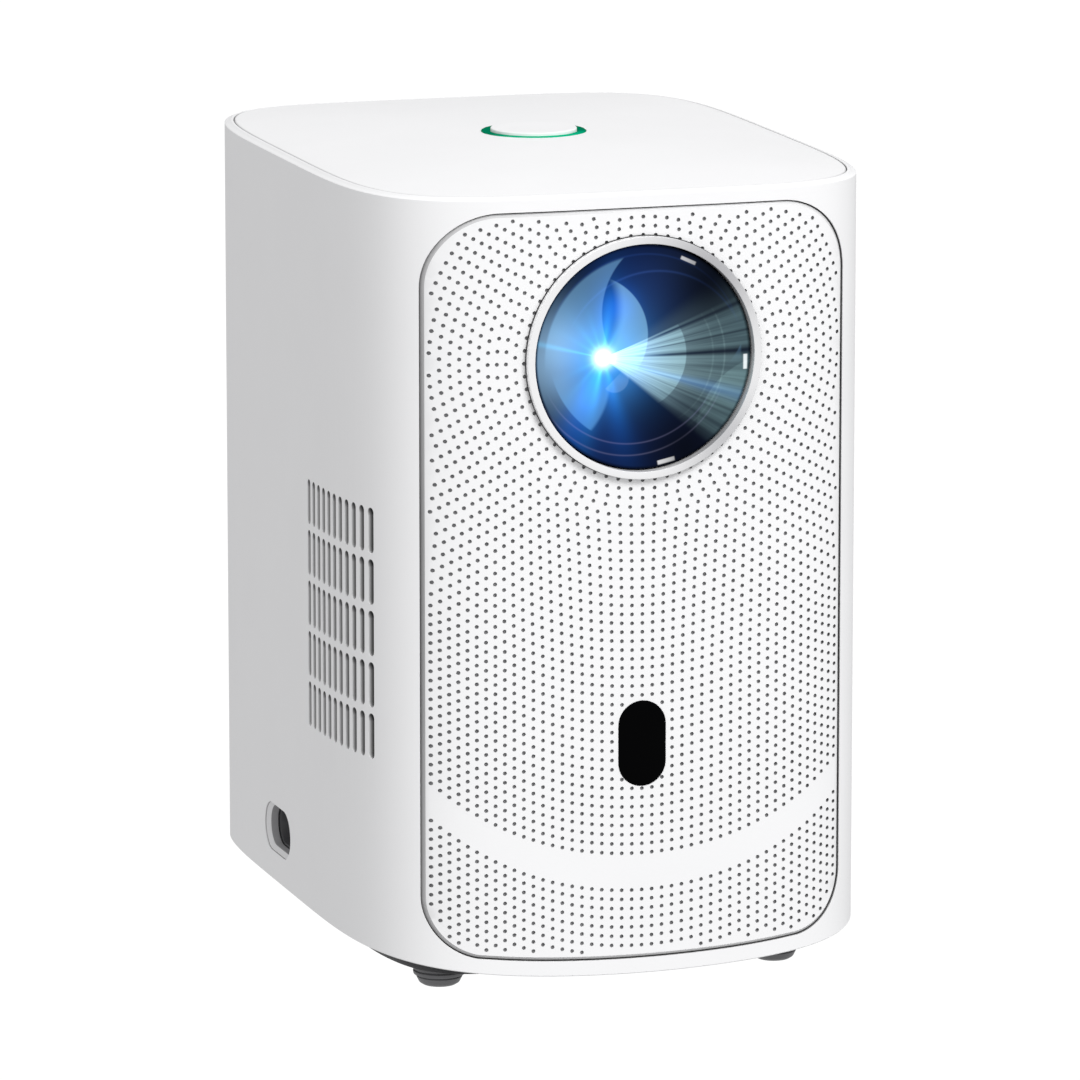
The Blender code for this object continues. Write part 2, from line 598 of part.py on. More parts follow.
def make_lens(mats):
    """The fixed holder, the barrel that slides in it, and three glass elements."""
    centre = (0, 0, LENS_Z)
    holder = box("lens_holder", (-42, FLANGE_Y, LENS_Z - 36), (42, FLANGE_Y + 4, LENS_Z + 35.9), mats["dark"])
    tube = lathe("tube", [(HOLDER_R + 2, -80), (HOLDER_R + 2, FLANGE_Y + 2), (0, FLANGE_Y + 2), (0, -80)], "Y",
                 centre, mats["dark"], 40, True)
    combine(holder, tube, "UNION")
    cut(holder, lathe("bore", [(HOLDER_R, -90), (HOLDER_R, -20), (0, -20), (0, -90)], "Y", centre,
                      mats["dark"], 40, True))
    barrel = lathe("lens_barrel", [
        (BARREL_R, -95.8), (BARREL_R, -40), (22.6, -40), (22.6, -56), (28.2, -56), (28.2, -84), (29.5, -84),
        (29.5, -95.8),
    ], "Y", centre, mats["dark"], 40)
    front = lathe("lens_front", [
        (0, -97.6), (8, -97.3), (16, -96.6), (23, -95.6), (29.2, -94.3), (29.2, -86.0), (20, -85.0), (0, -84.3),
    ], "Y", centre, mats["glass"], 40)
    middle = lathe("lens_middle", [(0, -70), (14, -70.8), (27.9, -73), (27.9, -63), (14, -65.4), (0, -66.4)], "Y",
                   centre, mats["glass"], 32)
    rear = lathe("lens_rear", [(0, -54.4), (12, -53.4), (22.3, -50.6), (22.3, -47), (12, -44.4), (0, -43.4)], "Y",
                 centre, mats["glass"], 32)
    for piece in (barrel, front, middle, rear):
        pivot(piece, centre)
    carry(barrel, front, middle, rear)


def gear_outline(teeth, phase):
    """Teeth of a plain trapezoid form, a little thin, so that a pair turns without touching."""
    pitch = TOOTH * teeth / 2
    tip, root = pitch + 0.85 * TOOTH, pitch - 1.15 * TOOTH
    points = []
    for i in range(teeth):
        middle = phase + 2 * math.pi * i / teeth
        step = 2 * math.pi / teeth
        for radius, share in ((root, -0.30), (tip, -0.11), (tip, 0.11), (root, 0.30)):
            angle = middle + share * step
            points.append((radius * math.cos(angle), radius * math.sin(angle)))
    return points


def make_focus(mats):
    """The motor, its pinion, and the toothed ring that drives the barrel along its axis."""
    ring = prism("focus_ring", moved(gear_outline(RING_TEETH, PINION_ANGLE), 0, LENS_Z), "Y", RING_Y0, RING_Y1,
                 mats["pom"])
    inner = HOLDER_R + 2.4
    cut(ring, lathe("bore", [(inner, -70), (inner, -45), (0, -45), (0, -70)], "Y", (0, 0, LENS_Z),
                    mats["pom"], 40, True))
    pivot(ring, (0, (RING_Y0 + RING_Y1) / 2, LENS_Z))
    x = PINION_REACH * math.cos(PINION_ANGLE)
    z = LENS_Z + PINION_REACH * math.sin(PINION_ANGLE)
    phase = PINION_ANGLE + math.pi + math.pi / PINION_TEETH
    pinion = prism("focus_pinion", moved(gear_outline(PINION_TEETH, phase), x, z), "Y", RING_Y0, RING_Y1,
                   mats["pom"])
    combine(pinion, lathe("shaft", [(1.4, RING_Y0 - 1.5), (1.4, -43), (0, -43), (0, RING_Y0 - 1.5)], "Y",
                          (x, 0, z), mats["pom"], 20, True), "UNION")
    pivot(pinion, (x, (RING_Y0 + RING_Y1) / 2, z))
    lathe("focus_motor", [
        (1.8, -51.5), (4, -51.5), (4, -50), (8, -50), (8, FLANGE_Y - GAP), (0, FLANGE_Y - GAP), (0, -41), (1.8, -41),
    ], "Y", (x, 0, z), mats["steel"], 28)


# ---- cooling, sound and boards ----

def make_fan(mats):
    """A square axial fan behind the left vent, with seven blades on a hub."""
    x0, x1 = FAN_X - FAN_DEEP / 2, FAN_X + FAN_DEEP / 2
    centre = (0, FAN_Y, FAN_Z)
    frame = box("fan_frame", (x0, FAN_Y - FAN_HALF, FAN_Z - FAN_HALF), (x1, FAN_Y + FAN_HALF, FAN_Z + FAN_HALF),
                mats["dark"])
    bore = lathe("bore", [(FAN_R, x0 - 5), (FAN_R, x1 + 5), (0, x1 + 5), (0, x0 - 5)], "X", centre,
                 mats["dark"], 36, True)
    cut(frame, bore)
    for turn in range(4):
        arm = box("arm", (x1 - 2.4, -1.6, 0), (x1, 1.6, FAN_R + 1), mats["dark"], hidden=True)
        arm.data.transform(Matrix.Rotation(math.radians(45 + 90 * turn), 4, "X"))
        arm.data.transform(Matrix.Translation(Vector(centre) * MM))
        combine(frame, arm, "UNION")
    seat = lathe("seat", [(10, x1 - 2.4), (10, x1), (0, x1), (0, x1 - 2.4)], "X", centre, mats["dark"], 32, True)
    combine(frame, seat, "UNION")
    rotor = lathe("fan_rotor", [(11, x0 + 0.8), (12, x0 + 1.6), (12, x1 - 3.0), (0, x1 - 3.0), (0, x0 + 0.8)],
                  "X", centre, mats["dark"], 32)
    for blade in range(BLADES):
        combine(rotor, fan_blade(blade, x0 + 1.8, x1 - 3.4, centre, mats["dark"]), "UNION")
    pivot(rotor, (FAN_X, FAN_Y, FAN_Z))


def fan_blade(index, x0, x1, centre, mat):
    """One swept blade: a thin sheet from the hub to the tip, twisted along the axis."""
    loops = []
    for radius in (11.0, 19.0, FAN_R - 1.2):
        half = 10 / radius
        sweep = 0.012 * (radius - 11)
        corners = []
        for share, side in ((-1, -0.6), (1, -0.6), (1, 0.6), (-1, 0.6)):
            angle = 2 * math.pi * index / BLADES + sweep + share * half * 0.55
            x = (x0 + x1) / 2 + share * (x1 - x0 - 1.6) / 2 + side
            corners.append((x, centre[1] + radius * math.cos(angle), centre[2] + radius * math.sin(angle)))
        loops.append(corners)
    return loft("blade", loops, mat, hidden=True)


def make_speakers(mats):
    """Two round drivers behind the front: a basket with its magnet, and a paper cone."""
    for name, side in (("left", -1), ("right", 1)):
        centre = (side * SPEAKER_X, SPEAKER_Y, SPEAKER_Z)
        lathe(f"speaker_frame_{name}", [
            (17.6, 0), (20, 0), (20, 2.2), (17.6, 2.4), (12, 10), (12, 19), (0, 19), (0, 12.5), (5.0, 12.5),
            (10.2, 9.4), (17.6, 1.4),
        ], "Y", centre, mats["steel"], 24)
        cone = lathe(f"speaker_cone_{name}", [
            (0, 3.4), (4.6, 4.6), (6.2, 6.4), (14.4, -0.4), (16.6, -0.6), (16.6, 0.0), (14.8, 0.4), (6.4, 7.2),
            (4.2, 7.2), (4.2, 10.2), (0, 10.2),
        ], "Y", centre, mats["cone"], 24)
        pivot(cone, centre)


def make_boards(mats):
    """The main board behind the sockets, the power board below it, and what stands on them."""
    box("main_board", (-55, 79.8, 68), (55, 81.4, 150), mats["board"])
    make_heat_sink("chip_heat_sink", -18, 18, 0, 36, 0, 10, mats["alu"], 8, 1.4, 3.0)
    sink = bpy.data.objects["chip_heat_sink"]
    sink.data.transform(Matrix.Rotation(math.radians(90), 4, "X"))
    sink.data.transform(Matrix.Rotation(math.radians(180), 4, "X"))
    sink.data.transform(Matrix.Translation(Vector((0, 69.5, 105)) * MM))
    box("power_board", (-45, 62, 16), (50, 63.6, 60), mats["board"])
    box("power_transformer", (-6, 64, 24), (20, 82, 50), mats["dark"])
    lathe("power_capacitor", [(0, 64), (8, 64), (8, 83), (7.2, 83.8), (0, 83.8)], "Y", (36, 0, 38),
          mats["gloss"], 28)
    box("wifi_antenna", (-20, 88.4, 186), (20, 89.4, 196), mats["board"])


def main():
    for old in list(bpy.data.objects):
        bpy.data.objects.remove(old)
    mats = make_materials()
    make_shell(mats)
    make_lid(mats)
    make_button(mats)
    make_front(mats)
    make_base(mats)
    make_inlet(mats)
    make_rear(mats)
    make_light_path(mats)
    make_mirror(mats)
    make_lens(mats)
    make_focus(mats)
    make_fan(mats)
    make_speakers(mats)
    make_boards(mats)


main()
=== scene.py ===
"""Looks of a home projector: fine shells, a perforated front, a lit lens, materials, light and camera.

Meshes are made in millimetres, in the frame of the CAD model, and scaled to metres at the end.
"""

import math

import bmesh
import bpy
import numpy as np
from mathutils import Matrix, Vector
from mathutils.geometry import delaunay_2d_cdt


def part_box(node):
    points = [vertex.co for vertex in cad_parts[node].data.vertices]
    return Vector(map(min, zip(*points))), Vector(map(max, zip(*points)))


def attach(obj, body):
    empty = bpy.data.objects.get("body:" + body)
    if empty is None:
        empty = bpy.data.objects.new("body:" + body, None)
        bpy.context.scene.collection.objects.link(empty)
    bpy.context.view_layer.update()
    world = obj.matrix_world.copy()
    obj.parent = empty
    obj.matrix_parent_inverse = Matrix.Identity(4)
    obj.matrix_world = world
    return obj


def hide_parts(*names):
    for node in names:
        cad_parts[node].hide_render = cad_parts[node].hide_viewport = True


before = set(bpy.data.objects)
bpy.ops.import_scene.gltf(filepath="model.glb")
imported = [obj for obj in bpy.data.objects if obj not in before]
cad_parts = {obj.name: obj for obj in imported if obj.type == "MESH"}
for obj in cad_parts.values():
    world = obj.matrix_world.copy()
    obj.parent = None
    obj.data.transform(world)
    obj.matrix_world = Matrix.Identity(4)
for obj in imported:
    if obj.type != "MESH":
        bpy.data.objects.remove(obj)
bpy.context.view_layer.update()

MM = 0.001
SHARP = 32.0

# Body, as in the CAD model: its plan is |x / HALF_W| ** POWER_X + |y / HALF_D| ** POWER_Y = 1
HALF_W, HALF_D = 72.6, 95.9
POWER_X, POWER_Y = 5.0, 4.6
OUTLINE_POINTS = 360
WALL = 2.5
FLOOR_Z, RIM_Z = 6.3, 218.3
EDGE_RISE = 6.8
CHAMFER_DROP, CHAMFER_SLOPE = 0.79, 0.4
DOME = 3.4
LID_INSET, LID_THICK = 2.67, 2.5
SEAT_Z = RIM_Z - LID_THICK - 0.9
TRAY_TOP = FLOOR_Z + 5.9
FOOT_X, FOOT_Y = 47.8, 66.4
SCREW_X, SCREW_Y = 56.0, 30.0

# Cutters through the body's walls: where they start outside, and where they end inside
OUTSIDE = 130.0
FRONT_END, INLET_END, PORT_END, VENT_END = 60.0, 60.0, 80.0, 58.0
# The right vent's slots end this far into the wall, on a skin that the shell's painted shade darkens
SHADE_SKIN_DEPTH = -2.2

# Front panel
PANEL_HALF = 59.2
PANEL_TOP, PANEL_LOW = 214.1, 10.5
PANEL_MIDDLE = (PANEL_TOP + PANEL_LOW) / 2
PANEL_R_TOP, PANEL_R_LOW = 20.0, 17.0
PANEL_GAP, PANEL_EDGE = 0.3, 1.15
EDGE_DROP, EDGE_SHADE = 0.9, 0.5
PANEL_THICK = 2.0

# Lens, window, button
LENS_Z = 174.1
BEZEL_R, BEZEL_INNER = 32.55, 30.5
SLEEVE_R = 31.4
WINDOW_Z, WINDOW_W, WINDOW_H = 69.5, 13.2, 23.2
BUTTON_R = 11.9
LIGHT_R0, LIGHT_R1 = 12.2, 14.4

# Perforation: rings of holes about the lens, then copies of the last ring's arc, moved down
HOLE_R, HOLE_DEEP, HOLE_SIDES = 0.56, 0.8, 10
RING_R0, RING_STEP, RING_COUNT = 35.32, 2.422, 22
RING_HOLES, RING_EXTRA = 66, 6
RING_Z = LENS_Z - 0.18
ROW_STEP, ROW_COUNT = 2.54, 36
BAND_ROWS = range(20, 23)

# Side vents, inlet, rear sockets
VENT_COLUMNS, VENT_ROWS = 11, 5
VENT_PITCH_Y, VENT_PITCH_Z = 4.45, 14.0
VENT_Y, VENT_Z = -49.6, 98.9
VENT_BOX_X, VENT_BOX_Y, VENT_BOX_Z = 55.0, 26.0, 36.0
SLOT_W, SLOT_H = 2.3, 12.1
INLET_Y, INLET_Z = 6.1, 28.0
INLET_W, INLET_H = 25.6, 13.4
PORT_Z, PORT_PLATE_W, PORT_PLATE_H = 82.0, 64.0, 20.0
PORT_FLOOR = 82.0
HDMI_X, USB_X, AUDIO_X = -18.0, 4.0, 22.0

# Camera and studio
CAMERA_AT, CAMERA_TURN, CAMERA_LENS = (-0.6506, -2.0555, 0.5276), (78.96, 0.0, -17.61), 263.8
AREA_LIGHTS = [
    ("key", 60.0, (0.42, -2.3, 2.2), (0, 0, 0.12), 1.2),
    ("side", 4.5, (-1.6, -2.2, 1.6), (0, 0, 0.12), 1.4),
    ("top", 6.0, (0.0, 0.3, 3.0), (0, 0, 0.2), 1.6),
]


# ---- materials ----

def connect(socket, value):
    """Give an input socket a number, a colour, a field or another node's output."""
    if isinstance(value, Field):
        value = value.value
    if isinstance(value, bpy.types.NodeSocket):
        socket.id_data.links.new(value, socket)
    else:
        socket.default_value = value


def set_inputs(made, **values):
    """Connect a node's inputs, each named with _ for a space."""
    for name, value in values.items():
        connect(made.inputs[name.replace("_", " ")], value)
    return made


def add_node(tree, kind, **values):
    return set_inputs(tree.nodes.new("ShaderNode" + kind), **values)


def new_material(name, colour, rough, metal=0.0, **values):
    """A material, its node tree and its shader."""
    made = bpy.data.materials.new(name)
    made.use_nodes = True
    made.diffuse_color = (*colour, 1.0)
    shader = made.node_tree.nodes["Principled BSDF"]
    set_inputs(shader, Base_Color=(*colour, 1.0), Roughness=rough, Metallic=metal, **values)
    return made, made.node_tree, shader


def coordinates(tree, scale=(1, 1, 1)):
    source = add_node(tree, "TexCoord").outputs["Object"]
    return add_node(tree, "Mapping", Vector=source, Scale=scale).outputs["Vector"]


def noise(tree, vector, scale, detail=4.0, rough=0.55):
    made = add_node(tree, "TexNoise", Vector=vector, Scale=scale, Detail=detail, Roughness=rough)
    return made.outputs["Fac"]


def ramp(tree, value, stops):
    """A colour ramp; each stop is (position, colour)."""
    made = add_node(tree, "ValToRGB", Fac=value)
    elements = made.color_ramp.elements
    while len(elements) < len(stops):
        elements.new(0.5)
    for element, (position, colour) in zip(elements, stops):
        element.position = position
        element.color = (*colour, 1.0)
    return made.outputs["Color"]


def map_range(tree, value, start, end, low=0.0, high=1.0, kind="LINEAR"):
    made = add_node(tree, "MapRange", Value=value, From_Min=start, From_Max=end, To_Min=low, To_Max=high)
    made.interpolation_type = kind
    return made.outputs["Result"]


def set_roughness(tree, shader, fac, low, high):
    """Roughness from low to high over the middle of a noise's range."""
    set_inputs(shader, Roughness=map_range(tree, fac, 0.3, 0.7, low, high))


def add_bump(tree, shader, height, strength, distance):
    bump = add_node(tree, "Bump", Strength=strength, Distance=distance, Height=height)
    set_inputs(shader, Normal=bump.outputs["Normal"])


def moulded(name, colour, rough, grain=900.0, bump=0.06, vary=0.02, stretch=(1, 1, 1), metal=0.0,
            level=0.5):
    """Moulded, cast or painted stock: faint mottling, uneven gloss and a fine grain."""
    made, tree, shader = new_material(name, colour, rough, metal, Specular_IOR_Level=level)
    vector = coordinates(tree, stretch)
    broad = noise(tree, vector, 45.0, 3.0)
    fine = noise(tree, vector, grain, 5.0)
    dark = tuple(c * (1 - vary) for c in colour)
    light = tuple(min(1.0, c * (1 + vary)) for c in colour)
    set_inputs(shader, Base_Color=ramp(tree, broad, [(0.3, dark), (0.7, light)]))
    set_roughness(tree, shader, fine, rough - 0.05, rough + 0.05)
    add_bump(tree, shader, fine, bump, 0.0002)
    return made


def shell_plastic(name):
    """White moulded plastic with a fine texture, and painted shade that darkens it down in its gaps, slots
    and holes.
    """
    made = moulded(name, (0.88, 0.88, 0.885), 0.42, 1500.0, 0.05, 0.006, level=0.3)
    tree = made.node_tree
    base = tree.nodes["Principled BSDF"].inputs["Base Color"]
    # Painted shade: the depth below the body's outside darkens the colour through the ramp below
    layer = add_node(tree, "Attribute")
    layer.attribute_name = "depth"
    stops = [(0.0, 1.0), (0.02, 0.9), (0.14, 0.6), (0.28, 0.3), (0.5, 0.04)]
    shade = ramp(tree, math_node(tree, "DIVIDE", layer.outputs["Fac"], 2.5),
                 [(position, (grey, grey, grey)) for position, grey in stops])
    mix = add_node(tree, "Mix", Factor=1.0)
    mix.data_type = "RGBA"
    mix.blend_type = "MULTIPLY"
    connect(mix.inputs[6], base.links[0].from_socket)
    connect(mix.inputs[7], shade)
    connect(base, mix.outputs[2])
    return made


def brushed(name, colour, rough, stretch):
    return moulded(name, colour, rough, 1400.0, 0.12, 0.05, stretch, 1.0)


def glass(name, colour, tint):
    made, tree, shader = new_material(name, colour, 0.03, IOR=1.6, Transmission_Weight=0.85, Coat_Weight=0.5)
    fac = noise(tree, coordinates(tree), 30.0, 2.0)
    set_inputs(shader, Base_Color=ramp(tree, fac, [(0.3, colour), (0.7, tint)]))
    set_roughness(tree, shader, fac, 0.02, 0.05)
    return made


def circuit(name):
    """Green board with lighter copper runs under the lacquer."""
    made, tree, shader = new_material(name, (0.01, 0.12, 0.05), 0.4)
    brick = add_node(tree, "TexBrick", Vector=coordinates(tree), Scale=220.0, Mortar_Size=0.03,
                     Color1=(0.008, 0.10, 0.04, 1), Color2=(0.012, 0.13, 0.05, 1),
                     Mortar=(0.05, 0.28, 0.10, 1))
    set_inputs(shader, Base_Color=brick.outputs["Color"])
    add_bump(tree, shader, brick.outputs["Fac"], 0.2, 0.0001)
    return made


# ---- meshes, in millimetres ----

def add_object(name, data):
    made = bpy.data.objects.new(name, data)
    bpy.context.scene.collection.objects.link(made)
    return made


def to_object(mesh, name, mat, smooth=SHARP):
    """An object from a bmesh, its faces turned outwards, smooth but for edges sharper than an angle."""
    bmesh.ops.remove_doubles(mesh, verts=mesh.verts, dist=1e-5)
    bmesh.ops.recalc_face_normals(mesh, faces=mesh.faces)
    data = bpy.data.meshes.new(name)
    mesh.to_mesh(data)
    mesh.free()
    data.transform(Matrix.Scale(MM, 4))
    data.materials.append(mat)
    soften(data, smooth)
    return add_object(name, data)


def soften(data, angle=SHARP):
    data.shade_smooth()
    data.set_sharp_from_angle(angle=math.radians(angle))


def add_loft(mesh, loops, ring=False):
    """Join loops of equal count with faces, then cap the ends or, as a ring, join the last to the first."""
    rows = [[mesh.verts.new(point) for point in loop] for loop in loops]
    for low, high in zip(rows, rows[1:] + rows[:1] if ring else rows[1:]):
        for i in range(len(low)):
            j = (i + 1) % len(low)
            mesh.faces.new((low[i], low[j], high[j], high[i]))
    if not ring:
        mesh.faces.new(rows[0][::-1])
        mesh.faces.new(rows[-1])


def loft(name, loops, mat, ring=False, smooth=SHARP):
    mesh = bmesh.new()
    add_loft(mesh, loops, ring)
    return to_object(mesh, name, mat, smooth)


PLACES = {
    "X": lambda a, b, h: (h, a, b),
    "Y": lambda a, b, h: (a, h, b),
    "Z": lambda a, b, h: (a, b, h),
}


def add_lathe(mesh, profile, axis, centre, steps):
    """Spin a closed (radius, height) profile about an axis. Radius 0 closes the solid."""
    place_at = PLACES[axis]
    rows = []
    for radius, height in profile:
        angles = [2 * math.pi * i / steps for i in range(steps)] if radius > 0 else [0.0]
        points = [place_at(radius * math.cos(a), radius * math.sin(a), height) for a in angles]
        rows.append([mesh.verts.new(Vector(centre) + Vector(point)) for point in points])
    for low, high in zip(rows, rows[1:] + rows[:1]):
        if len(low) == 1 and len(high) == 1:
            continue
        for i in range(steps):
            j = (i + 1) % steps
            corners = [low[i % len(low)], low[j % len(low)], high[j % len(high)], high[i % len(high)]]
            mesh.faces.new(list(dict.fromkeys(corners)))


def lathe(name, profile, axis, centre, mat, steps=128, smooth=SHARP):
    mesh = bmesh.new()
    add_lathe(mesh, profile, axis, centre, steps)
    return to_object(mesh, name, mat, smooth)


def rounded(profile, radius, steps=4):
    """Round the corners of a closed (radius, height) profile, other than those on the axis."""
    points = []
    for i, corner in enumerate(profile):
        if corner[0] == 0:
            points.append(corner)
            continue
        here = Vector(corner)
        to_before, to_after = Vector(profile[i - 1]) - here, Vector(profile[(i + 1) % len(profile)]) - here
        reach = min(radius, 0.45 * to_before.length, 0.45 * to_after.length)
        start, end = here + to_before.normalized() * reach, here + to_after.normalized() * reach
        for k in range(steps + 1):
            t = k / steps
            points.append(tuple(start * (1 - t) ** 2 + here * 2 * t * (1 - t) + end * t ** 2))
    return points


def cut(target, tool, operation="DIFFERENCE"):
    """Apply a Boolean, then remove the tool."""
    modifier = target.modifiers.new("cut", "BOOLEAN")
    modifier.operation = operation
    modifier.solver = "MANIFOLD"
    modifier.object = tool
    bpy.context.view_layer.update()
    graph = bpy.context.evaluated_depsgraph_get()
    result = bpy.data.meshes.new_from_object(target.evaluated_get(graph))
    target.modifiers.clear()
    result.materials.clear()
    result.materials.append(target.data.materials[0])
    result.polygons.foreach_set("material_index", [0] * len(result.polygons))
    target.data = result
    bpy.data.objects.remove(tool)
    soften(result)


def round_box(width, height, radius, steps=4):
    """A rectangle about the origin with round corners."""
    points = []
    for quarter, (sign_a, sign_b) in enumerate(((1, 1), (-1, 1), (-1, -1), (1, -1))):
        for i in range(steps + 1):
            angle = math.pi / 2 * (quarter + i / steps)
            points.append((sign_a * (width / 2 - radius) + radius * math.cos(angle),
                           sign_b * (height / 2 - radius) + radius * math.sin(angle)))
    return distinct(points)


def stadium(width, height, steps=14):
    """A slot about the origin, round at its two ends."""
    return round_box(width, height, min(width, height) / 2, steps)


def distinct(points):
    """Drop points that repeat the one before."""
    kept = []
    for point in points:
        if not kept or math.dist(point, kept[-1]) > 1e-4:
            kept.append(point)
    if math.dist(kept[0], kept[-1]) < 1e-4:
        kept.pop()
    return kept


def moved(outline, across, up):
    return [(a + across, b + up) for a, b in outline]


def dense(outline, step):
    """Add points along an outline so that none are further apart than step."""
    points = []
    for (a0, b0), (a1, b1) in zip(outline, outline[1:] + outline[:1]):
        count = max(1, math.ceil(math.hypot(a1 - a0, b1 - b0) / step))
        points += [(a0 + (a1 - a0) * k / count, b0 + (b1 - b0) * k / count) for k in range(count)]
    return points


# ---- the body's walls ----

def wall_y(x):
    """The front wall's y at an x."""
    return -HALF_D * (1 - min(1.0, abs(x) / HALF_W) ** POWER_X) ** (1 / POWER_Y)


def wall_x(y):
    """The right wall's x at a y."""
    return HALF_W * (1 - min(1.0, abs(y) / HALF_D) ** POWER_Y) ** (1 / POWER_X)


def wall_normal(x, y):
    slope_x = math.copysign(POWER_X / HALF_W * abs(x / HALF_W) ** (POWER_X - 1), x)
    slope_y = math.copysign(POWER_Y / HALF_D * abs(y / HALF_D) ** (POWER_Y - 1), y)
    size = math.hypot(slope_x, slope_y)
    return slope_x / size, slope_y / size


def even_outline():
    """Points of the plan outline, spaced evenly where it bends and more widely along the flats."""
    fine = []
    steps = 20000
    for i in range(steps):
        angle = 2 * math.pi * (i + 0.5) / steps
        cos, sin = math.cos(angle), math.sin(angle)
        fine.append((HALF_W * math.copysign(abs(cos) ** (2 / POWER_X), cos),
                     HALF_D * math.copysign(abs(sin) ** (2 / POWER_Y), sin)))
    points = np.array(fine)
    ahead = np.roll(points, -1, axis=0)
    length = np.hypot(*(ahead - points).T)
    turn = np.array([math.atan2(*wall_normal(x, y)[::-1]) for x, y in fine])
    bend = np.abs((np.roll(turn, -1) - turn + math.pi) % (2 * math.pi) - math.pi)
    weight = np.concatenate([[0], np.cumsum(length / length.sum() + bend / bend.sum())])
    targets = np.linspace(0, weight[-1], OUTLINE_POINTS, endpoint=False) + weight[-1] / OUTLINE_POINTS / 2
    places = np.searchsorted(weight, targets) - 1
    return [fine[i % steps] for i in places]


OUTLINE = even_outline()


def body_loop(inset, height):
    """The plan outline, drawn in along its normal, at a height that is a number or a function of x."""
    loop = []
    for x, y in OUTLINE:
        normal_x, normal_y = wall_normal(x, y)
        a, b = x - inset * normal_x, y - inset * normal_y
        loop.append((a, b, height(a) if callable(height) else height))
    return loop


def lower_edge(x, lift=0.0):
    return FLOOR_Z + EDGE_RISE * (x / HALF_W) ** 2 + lift


def arc(centre_x, centre_z, radius, start, end, steps=24):
    angles = [math.radians(start + (end - start) * i / steps) for i in range(steps + 1)]
    return [(centre_x + radius * math.cos(a), centre_z + radius * math.sin(a)) for a in angles]


def panel_bottom(x, inset):
    return PANEL_LOW + inset + EDGE_RISE * (x / HALF_W) ** 2


def panel_outline(inset):
    """The front panel seen from the front: round corners, and a lower edge with the shell's arc."""
    half, top = PANEL_HALF - inset, PANEL_TOP - inset
    high, low = PANEL_R_TOP - inset, PANEL_R_LOW - inset
    side = half - low
    right = arc(side, panel_bottom(side, inset) + low, low, -80, 0)
    left = [(-x, z) for x, z in reversed(right)]
    top_right = arc(half - high, top - high, high, 0, 90)
    top_left = [(-x, z) for x, z in reversed(top_right)]
    steps = 40
    floor = [side * (2 * i / steps - 1) for i in range(1, steps)]
    return distinct(left + [(x, panel_bottom(x, inset)) for x in floor] + right + top_right + top_left)


def inside_panel(x, z, inset):
    """Whether a point of the front view is within the panel's outline drawn in by inset."""
    half, top = PANEL_HALF - inset, PANEL_TOP - inset
    if abs(x) > half or z > top or z < panel_bottom(x, inset):
        return False
    high, low = PANEL_R_TOP - inset, PANEL_R_LOW - inset
    dx, dz = abs(x) - (half - high), z - (top - high)
    if dx > 0 and dz > 0 and math.hypot(dx, dz) > high:
        return False
    side = half - low
    dx, dz = abs(x) - side, z - (panel_bottom(side, inset) + low)
    return not (dx > 0 and dz < 0 and math.hypot(dx, dz) > low)


def flared(outer, inner, end, reach, surface, axis, sign):
    """Loops of a cutter into a wall, wider by a small chamfer at the wall's outer face.

    The surface gives the wall's place. The cutter ends at a place, or below 0 at a depth into the wall.
    """
    place_at = PLACES[axis]
    return [
        [place_at(a, b, sign * OUTSIDE) for a, b in outer],
        [place_at(a, b, sign * (abs(surface(a)) + 0.02)) for a, b in outer],
        [place_at(a, b, sign * (abs(surface(a)) - reach)) for a, b in inner],
        [place_at(a, b, sign * (end if end > 0 else abs(surface(a)) + end)) for a, b in inner],
    ]


def mark_depth(obj, lid=False):
    """Store how far each vertex lies below the outside of the body, in mm: the shell's material turns it
    into painted shade.

    The lid's seam counts as deeper than it is, for darker painted shade, and a vent's slots as shallower,
    other than at their tops, which get a painted shadow.
    """
    points = np.empty(len(obj.data.vertices) * 3, np.float32)
    obj.data.vertices.foreach_get("co", points)
    x, y, z = points.reshape(-1, 3).T / MM
    if lid:
        depth = (RIM_Z + 0.05 - z) * 1.5
    else:
        across, along = np.abs(x / HALF_W), np.abs(y / HALF_D)
        slope = np.hypot(POWER_X / HALF_W * across ** (POWER_X - 1),
                         POWER_Y / HALF_D * along ** (POWER_Y - 1))
        inset = (1 - across ** POWER_X - along ** POWER_Y) / np.maximum(slope, 1e-4)
        chamfer = RIM_Z - CHAMFER_DROP + CHAMFER_SLOPE * inset
        lower = FLOOR_Z + EDGE_RISE * (x / HALF_W) ** 2
        depth = np.min([inset, RIM_Z - z, chamfer - z, z - lower], axis=0)
        above = ((z - VENT_Z) / VENT_PITCH_Z + 0.5) % 1 * VENT_PITCH_Z - VENT_PITCH_Z / 2
        in_slot = ((np.abs(x) > VENT_BOX_X) & (np.abs(y - VENT_Y) < VENT_BOX_Y)
                   & (np.abs(z - VENT_Z) < VENT_BOX_Z) & (depth > 0.05))
        # Painted shade in the slots: lighter overall, and a painted shadow toward each slot's top end
        depth = np.where(in_slot, depth * 0.75 + np.clip((above - 4.2) / 1.4, 0, 1) * 0.8, depth)
    layer = obj.data.attributes.new("depth", "FLOAT", "POINT")
    layer.data.foreach_set("value", np.clip(depth, 0, 3).astype(np.float32))
    return obj


# ---- outer parts ----

def add_vent(mesh, side):
    """Cutters for a side's vent. The right side's slots end on a thin skin, which the shell's painted shade
    makes a dark floor where the vent's inside lies in shade.
    """
    wide, narrow = (dense(stadium(SLOT_W + wider, SLOT_H + wider, 5), 1.2) for wider in (0.35, 0.2))
    end = SHADE_SKIN_DEPTH if side > 0 else VENT_END
    for column in range(VENT_COLUMNS):
        for row in range(VENT_ROWS):
            y = VENT_Y + (column - (VENT_COLUMNS - 1) / 2) * VENT_PITCH_Y
            z = VENT_Z + (row - (VENT_ROWS - 1) / 2) * VENT_PITCH_Z
            add_loft(mesh, flared(moved(wide, y, z), moved(narrow, y, z), end, 0.15, wall_x, "X", side))


